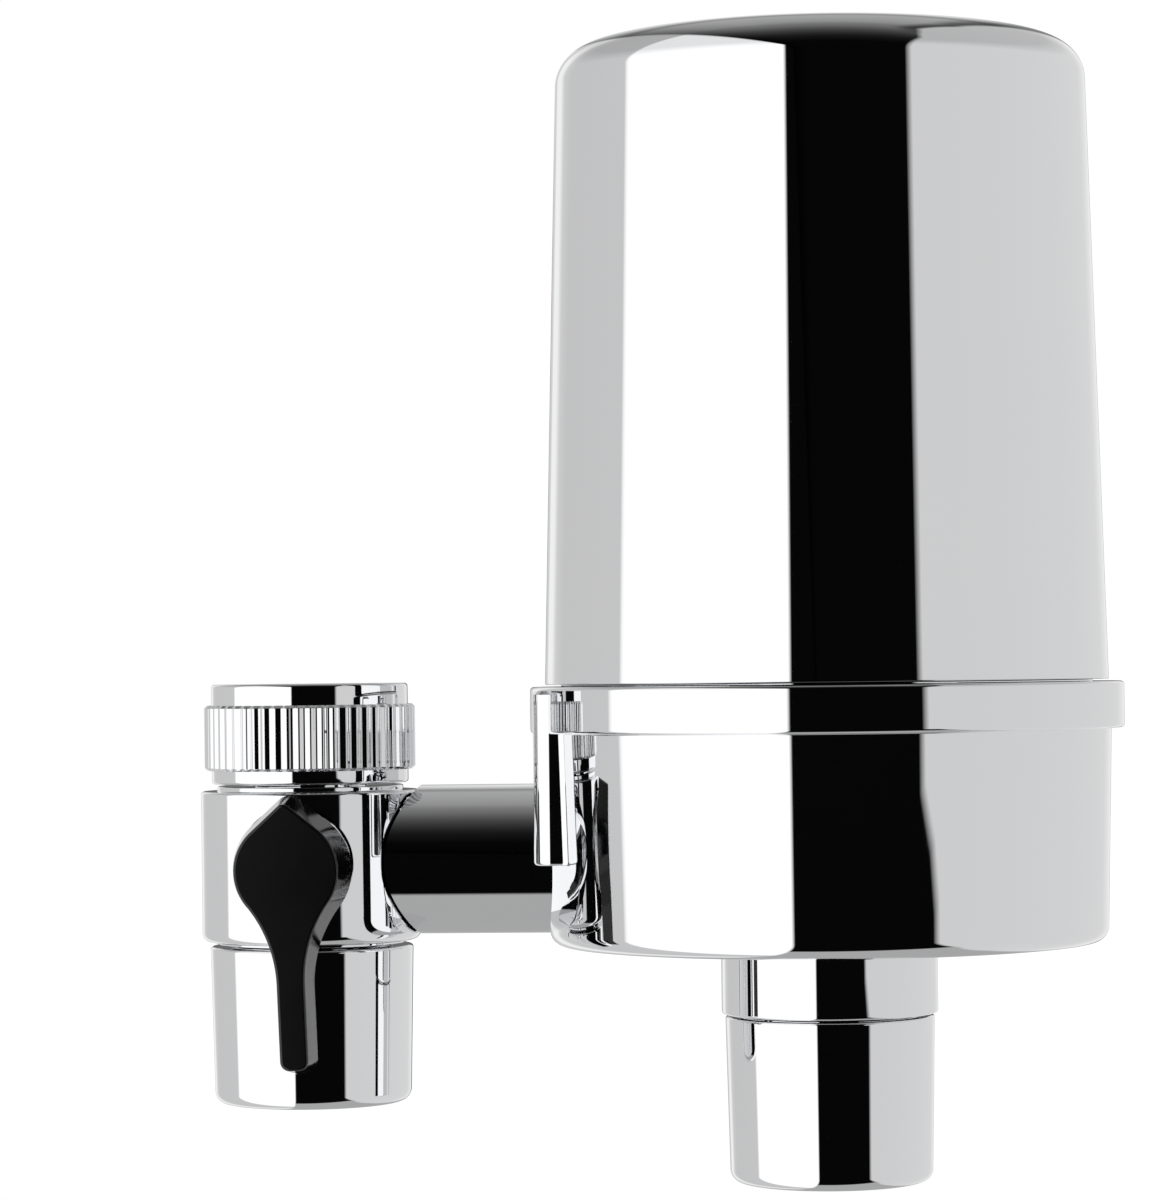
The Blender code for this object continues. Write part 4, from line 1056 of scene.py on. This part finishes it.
def cartridge():
    """Cartridge: windowed cage between two caps, pleated sleeve, carbon block and sealed nipple."""
    cap_low, cap_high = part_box("cartridge_bottom_cap")
    top_low, top_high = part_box("cartridge_top_cap")
    media_low, media_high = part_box("cartridge_carbon")
    rim_r = radius_of("cartridge_top_cap")
    cage_r = radius_of("cartridge_cage")
    wall = 1.6 * MM
    rim_in = cage_r + GAP
    plate_top = media_low.z - GAP
    plate_low = plate_top - 3.0 * MM
    hub_low = plate_low - 3.7 * MM
    nipple_r = 10.0 * MM
    nipple_bore = nipple_r - 3.5 * MM
    grooves = (hub_low - 4.0 * MM, hub_low - 8.5 * MM)
    corners = [
        (rim_in, cap_high.z, 0.3 * MM),
        (rim_r, cap_high.z, 0.4 * MM),
        (rim_r, plate_low, 0.8 * MM),
        (TOWER_R, plate_low, 0.5 * MM),
        (TOWER_R, hub_low, 0.6 * MM),
        (nipple_r, hub_low, 0.4 * MM),
        *groove_corners(nipple_r, grooves[0]),
        *groove_corners(nipple_r, grooves[1]),
        (nipple_r, cap_low.z, 0.7 * MM),
        (nipple_bore, cap_low.z, 0.4 * MM),
        (nipple_bore, plate_top, 0.4 * MM),
        (rim_in, plate_top, 0.3 * MM),
    ]
    foot = turned("cartridge_bottom_cap_fine", corners, WHITE)
    dress(put(foot, HOUSING_AXIS), "main", "white_plastic", "cartridge_bottom_cap")
    for node, height in zip(("cartridge_oring_upper", "cartridge_oring_lower"), grooves):
        seal(node, nipple_r, height, HOUSING_AXIS, "main")

    knob_r = 6.0 * MM
    cap_top = top_high.z - 2.5 * MM
    under = media_high.z + GAP
    corners = [
        (0.0, top_high.z, 0.0),
        (knob_r, top_high.z, 0.6 * MM),
        (knob_r, cap_top, 0.6 * MM),
        (rim_r, cap_top, 0.8 * MM),
        (rim_r, top_low.z, 0.4 * MM),
        (rim_in, top_low.z, 0.3 * MM),
        (rim_in, under, 0.3 * MM),
        (0.0, under, 0.0),
    ]
    head = turned("cartridge_top_cap_fine", corners, WHITE, closed=False)
    dress(put(head, HOUSING_AXIS), "main", "white_plastic", "cartridge_top_cap")

    corners = [
        (cage_r - wall, media_high.z, 0.3 * MM),
        (cage_r, media_high.z, 0.3 * MM),
        (cage_r, media_low.z, 0.3 * MM),
        (cage_r - wall, media_low.z, 0.3 * MM),
    ]
    cage = turned("cartridge_cage_fine", corners, WHITE, 160)
    rows = 3
    rib = 4.0 * MM
    first = media_low.z + 2 * rib
    rise = (media_high.z - rib - first) / rows
    repeat(
        cage, WINDOWS, columns=10, rows=rows, radius=cage_r - 3 * wall, low=first, rise=rise,
        width=12.0 * MM, height=rise - rib, corner=1.5 * MM, reach=4.0 * wall,
    )
    dress(put(cage, HOUSING_AXIS), "main", "white_plastic", "cartridge_cage")

    sleeve_r = radius_of("cartridge_prefilter")
    block_r = radius_of("cartridge_carbon")
    block_bore = 7.0 * MM
    pleats = 36
    corners = [
        (block_r + GAP, media_high.z, 0.0),
        (sleeve_r, media_high.z, 0.2 * MM),
        (sleeve_r, media_low.z, 0.2 * MM),
        (block_r + GAP, media_low.z, 0.0),
    ]
    sleeve = turned("cartridge_prefilter_fine", corners, FABRIC, pleats * 14)
    repeat(
        sleeve, GROOVES, count=float(pleats), turns_per_metre=0.0, depth=-0.8 * MM,
        low=media_low.z - GAP, high=media_high.z + GAP, run_out=0.01 * MM,
        inner=sleeve_r - 0.5 * MM, outer=sleeve_r + GAP, steepness=1.15,
    )
    dress(put(sleeve, HOUSING_AXIS), "main", "fabric", "cartridge_prefilter", sharp=50.0)

    corners = [
        (block_bore, media_high.z, 0.6 * MM),
        (block_r, media_high.z, 0.8 * MM),
        (block_r, media_low.z, 0.8 * MM),
        (block_bore, media_low.z, 0.6 * MM),
    ]
    block = turned("cartridge_carbon_fine", corners, CARBON)
    dress(put(block, HOUSING_AXIS), "main", "carbon", "cartridge_carbon")


def scaled(graph, colour, share):
    """A colour of the tree made darker by a share."""
    return graph.add("ShaderNodeVectorMath", {"operation": "SCALE"}, {0: colour, "Scale": share})


def studio():
    """White for the eye, plain light on the part, and walls and a dark strip for the plating to mirror.

    The greys are laid out by angles, in degrees, of the direction that is mirrored: around the upright
    axis from the front towards +X, height above the level, across towards +X, over from the front up and
    back, and lean from the left up and over. A strip runs between two borders from the front over the top
    to the back: it is dark in front, and brightens overhead and behind. Outside it are the walls.
    """
    world = bpy.data.worlds.new("studio")
    world.use_nodes = True
    world.node_tree.nodes.clear()
    graph = Graph(world.node_tree)
    way = graph.add("ShaderNodeTexCoord", output="Generated")
    split = graph.add("ShaderNodeSeparateXYZ", None, {0: way})
    x, y, z = (Value(graph, socket) for socket in split.socket.node.outputs)
    around = x.maths("ARCTAN2", x, y * -1.0) * math.degrees(1.0)
    height = z.maths("ARCSINE", z) * math.degrees(1.0)
    across = x.maths("ARCSINE", x) * math.degrees(1.0)
    over = z.maths("ARCTAN2", z, y * -1.0) * math.degrees(1.0)
    lean = z.maths("ARCTAN2", z, x * -1.0) * math.degrees(1.0)
    turn = (-180.0, 180.0)
    half_turn = (-90.0, 90.0)

    walls = greys(graph, around, [
        (-180.0, 0.03), (-175.0, 0.03), (-172.0, 0.7), (-161.0, 0.62), (-157.0, 0.93), (-149.0, 0.93),
        (-143.0, 0.66), (-134.0, 0.6), (-90.0, 0.62), (-88.0, 1.15), (-12.0, 1.15), (-11.0, 0.68),
        (60.0, 0.68), (152.0, 0.73), (167.0, 0.85), (173.0, 0.9), (175.5, 0.03), (180.0, 0.03),
    ], *turn)
    strip = greys(graph, over, [
        (-180.0, 0.15), (-174.0, 0.15), (-171.0, 0.7), (-160.0, 0.45), (-150.0, 0.42), (-56.0, 0.42),
        (-52.0, 0.002), (22.0, 0.002), (28.0, 0.0025), (34.5, 0.0055), (41.0, 0.0085), (48.0, 0.018),
        (55.0, 0.036), (62.0, 0.06), (69.0, 0.098), (77.0, 0.155), (86.0, 0.21), (95.0, 0.31),
        (104.0, 0.35), (114.0, 0.385), (128.0, 0.42), (133.0, 0.31), (138.0, 0.31), (143.0, 0.5),
        (150.0, 0.7), (163.0, 0.93), (171.0, 0.93), (174.0, 0.15), (180.0, 0.15),
    ], *turn)

    # A ramp holds values from 0 to 1, so the right border's angles pass through it in hundreds of degrees
    right_edge = [
        (-180.0, 0.0), (-150.0, 10.0), (-110.0, 30.0), (-60.0, 46.0), (-7.4, 46.0), (-6.2, 40.5),
        (0.0, 40.0), (50.0, 39.5), (70.0, 33.0), (80.0, 29.0), (105.0, 29.0), (134.0, 20.0),
        (155.0, 12.0), (180.0, 0.0),
    ]
    border = greys(graph, over, [(angle, edge / 100.0) for angle, edge in right_edge], *turn) * 100.0
    inside = border - across
    past_left = greys(graph, across, [(-12.3, 0.0), (-11.3, 1.0)], *half_turn)
    past_corner = greys(graph, lean, [(54.3, 0.0), (55.7, 1.0)], *turn)
    past_right = greys(graph, inside, [(-0.6, 0.0), (0.6, 1.0)], *turn)
    in_strip = past_left.maths("MAXIMUM", past_left, past_corner) * past_right

    # Darker lines along the strip's two borders, the right one only overhead
    left_line = greys(graph, lean, [
        (54.0, 1.0), (55.0, 0.3), (58.0, 0.4), (62.0, 0.6), (66.0, 0.8), (75.0, 1.0),
    ], *turn)
    right_line = greys(graph, inside, [(0.0, 0.2), (4.0, 0.3), (9.0, 1.0)], *turn)
    overhead = greys(graph, over, [(62.0, 0.0), (80.0, 1.0)], *turn)
    lines = left_line * (1.0 - overhead * (1.0 - right_line))
    upper = greys(graph, height, [(18.0, 1.0), (30.0, 0.74)], *half_turn)
    mirrored = blended(graph, in_strip, scaled(graph, walls, upper), scaled(graph, strip, lines))

    seen = graph.add("ShaderNodeLightPath", output="Is Camera Ray")
    glossy = graph.add("ShaderNodeLightPath", output="Is Glossy Ray")
    plain = blended(graph, seen, (0.72, 0.72, 0.72), (1.0, 1.0, 1.0))
    colour = blended(graph, glossy, plain, mirrored)
    shader = graph.add("ShaderNodeBackground", None, {"Color": colour, "Strength": 1.0})
    graph.add("ShaderNodeOutputWorld", None, {"Surface": shader})
    world.cycles.sampling_method = "NONE"
    bpy.context.scene.world = world


def floor():
    """Plain pale floor with a painted glow, weaker near the middle where the lamps light it and stronger far
    out: white to the eye but for the part's shadow, and clear to the plating.
    """
    middle = Vector((AIM.x, AIM.y, FLOOR_Z))
    material, graph = new_material("pale_floor")
    fleck = speckle(graph, 40.0)
    place = graph.add("ShaderNodeTexCoord", output=OBJECT_OUTPUT)
    away = graph.add("ShaderNodeVectorMath", {"operation": "DISTANCE"}, {0: place, 1: middle}, output=1)
    lit = graph.add("ShaderNodeBsdfPrincipled", None, {
        "Base Color": blended(graph, fleck, (0.93, 0.93, 0.93), (0.95, 0.95, 0.95)),
        "Roughness": 1.0,
        "Specular IOR Level": 0.0,
        # Painted light: the floor's own glow grows from the middle outwards, making up for the lamps' light
        # that falls off with distance
        "Emission Color": greys(graph, away, [(0.0, 0.11), (1.0, 0.36)], 0.0, FLOOR_RADIUS),
        "Emission Strength": 1.0,
    })
    clear = graph.add("ShaderNodeBsdfTransparent")
    glossy = graph.add("ShaderNodeLightPath", output="Is Glossy Ray")
    mixed = graph.add("ShaderNodeMixShader", None, {0: glossy, 1: lit, 2: clear})
    graph.add("ShaderNodeOutputMaterial", None, {"Surface": mixed})
    work = bmesh.new()
    bmesh.ops.create_circle(work, cap_ends=True, segments=96, radius=FLOOR_RADIUS)
    piece_from("pale_floor", work, Matrix.Translation(middle), material)


def lamps():
    """Soft overhead and side lamps, which the plating doesn't mirror."""
    for name, place, size, power in (
        ("top_lamp", (0.1, -0.3, 0.9), 0.8, 1.8),
        ("left_lamp", (-0.8, -0.5, 0.3), 0.6, 1.0),
        ("right_lamp", (0.9, -0.3, 0.3), 0.6, 0.8),
    ):
        data = bpy.data.lights.new(name, "AREA")
        data.shape = "DISK"
        data.size = size
        data.energy = power
        lamp = bpy.data.objects.new(name, data)
        lamp.location = place
        lamp.rotation_euler = (AIM - Vector(place)).to_track_quat("-Z", "Y").to_euler()
        lamp.visible_glossy = False
        lamp.visible_camera = False
        bpy.context.scene.collection.objects.link(lamp)


def camera():
    """The photograph's view: nearly level, from the front and a little to the right, through a long lens."""
    data = bpy.data.cameras.new("camera")
    data.lens = CAMERA_LENS
    data.sensor_width = 36.0
    data.shift_x, data.shift_y = CAMERA_SHIFT
    made = bpy.data.objects.new("camera", data)
    made.location = CAMERA_PLACE
    turn = Matrix.Rotation(CAMERA_AZIMUTH, 4, "Z") @ Matrix.Rotation(math.pi / 2 + CAMERA_RISE, 4, "X")
    made.rotation_euler = (turn @ Matrix.Rotation(CAMERA_ROLL, 4, "Z")).to_euler()
    bpy.context.scene.collection.objects.link(made)
    bpy.context.scene.camera = made


collar_nut()
inlet_parts()
valve_body()
spindle_parts()
lever()
outlet_parts(TAP_OUTLET_NODES, TAP_OUTLET_R, TAP_SPIGOT_R, VALVE_AXIS, TAP_LIP)
arm_tube()
filter_base()
outlet_parts(HOUSING_OUTLET_NODES, radius_of("outlet_cap"), HOUSING_SPIGOT_R, HOUSING_AXIS)
cover()
cartridge()
floor()
studio()
lamps()
camera()
bpy.context.scene.view_settings.view_transform = "Standard"
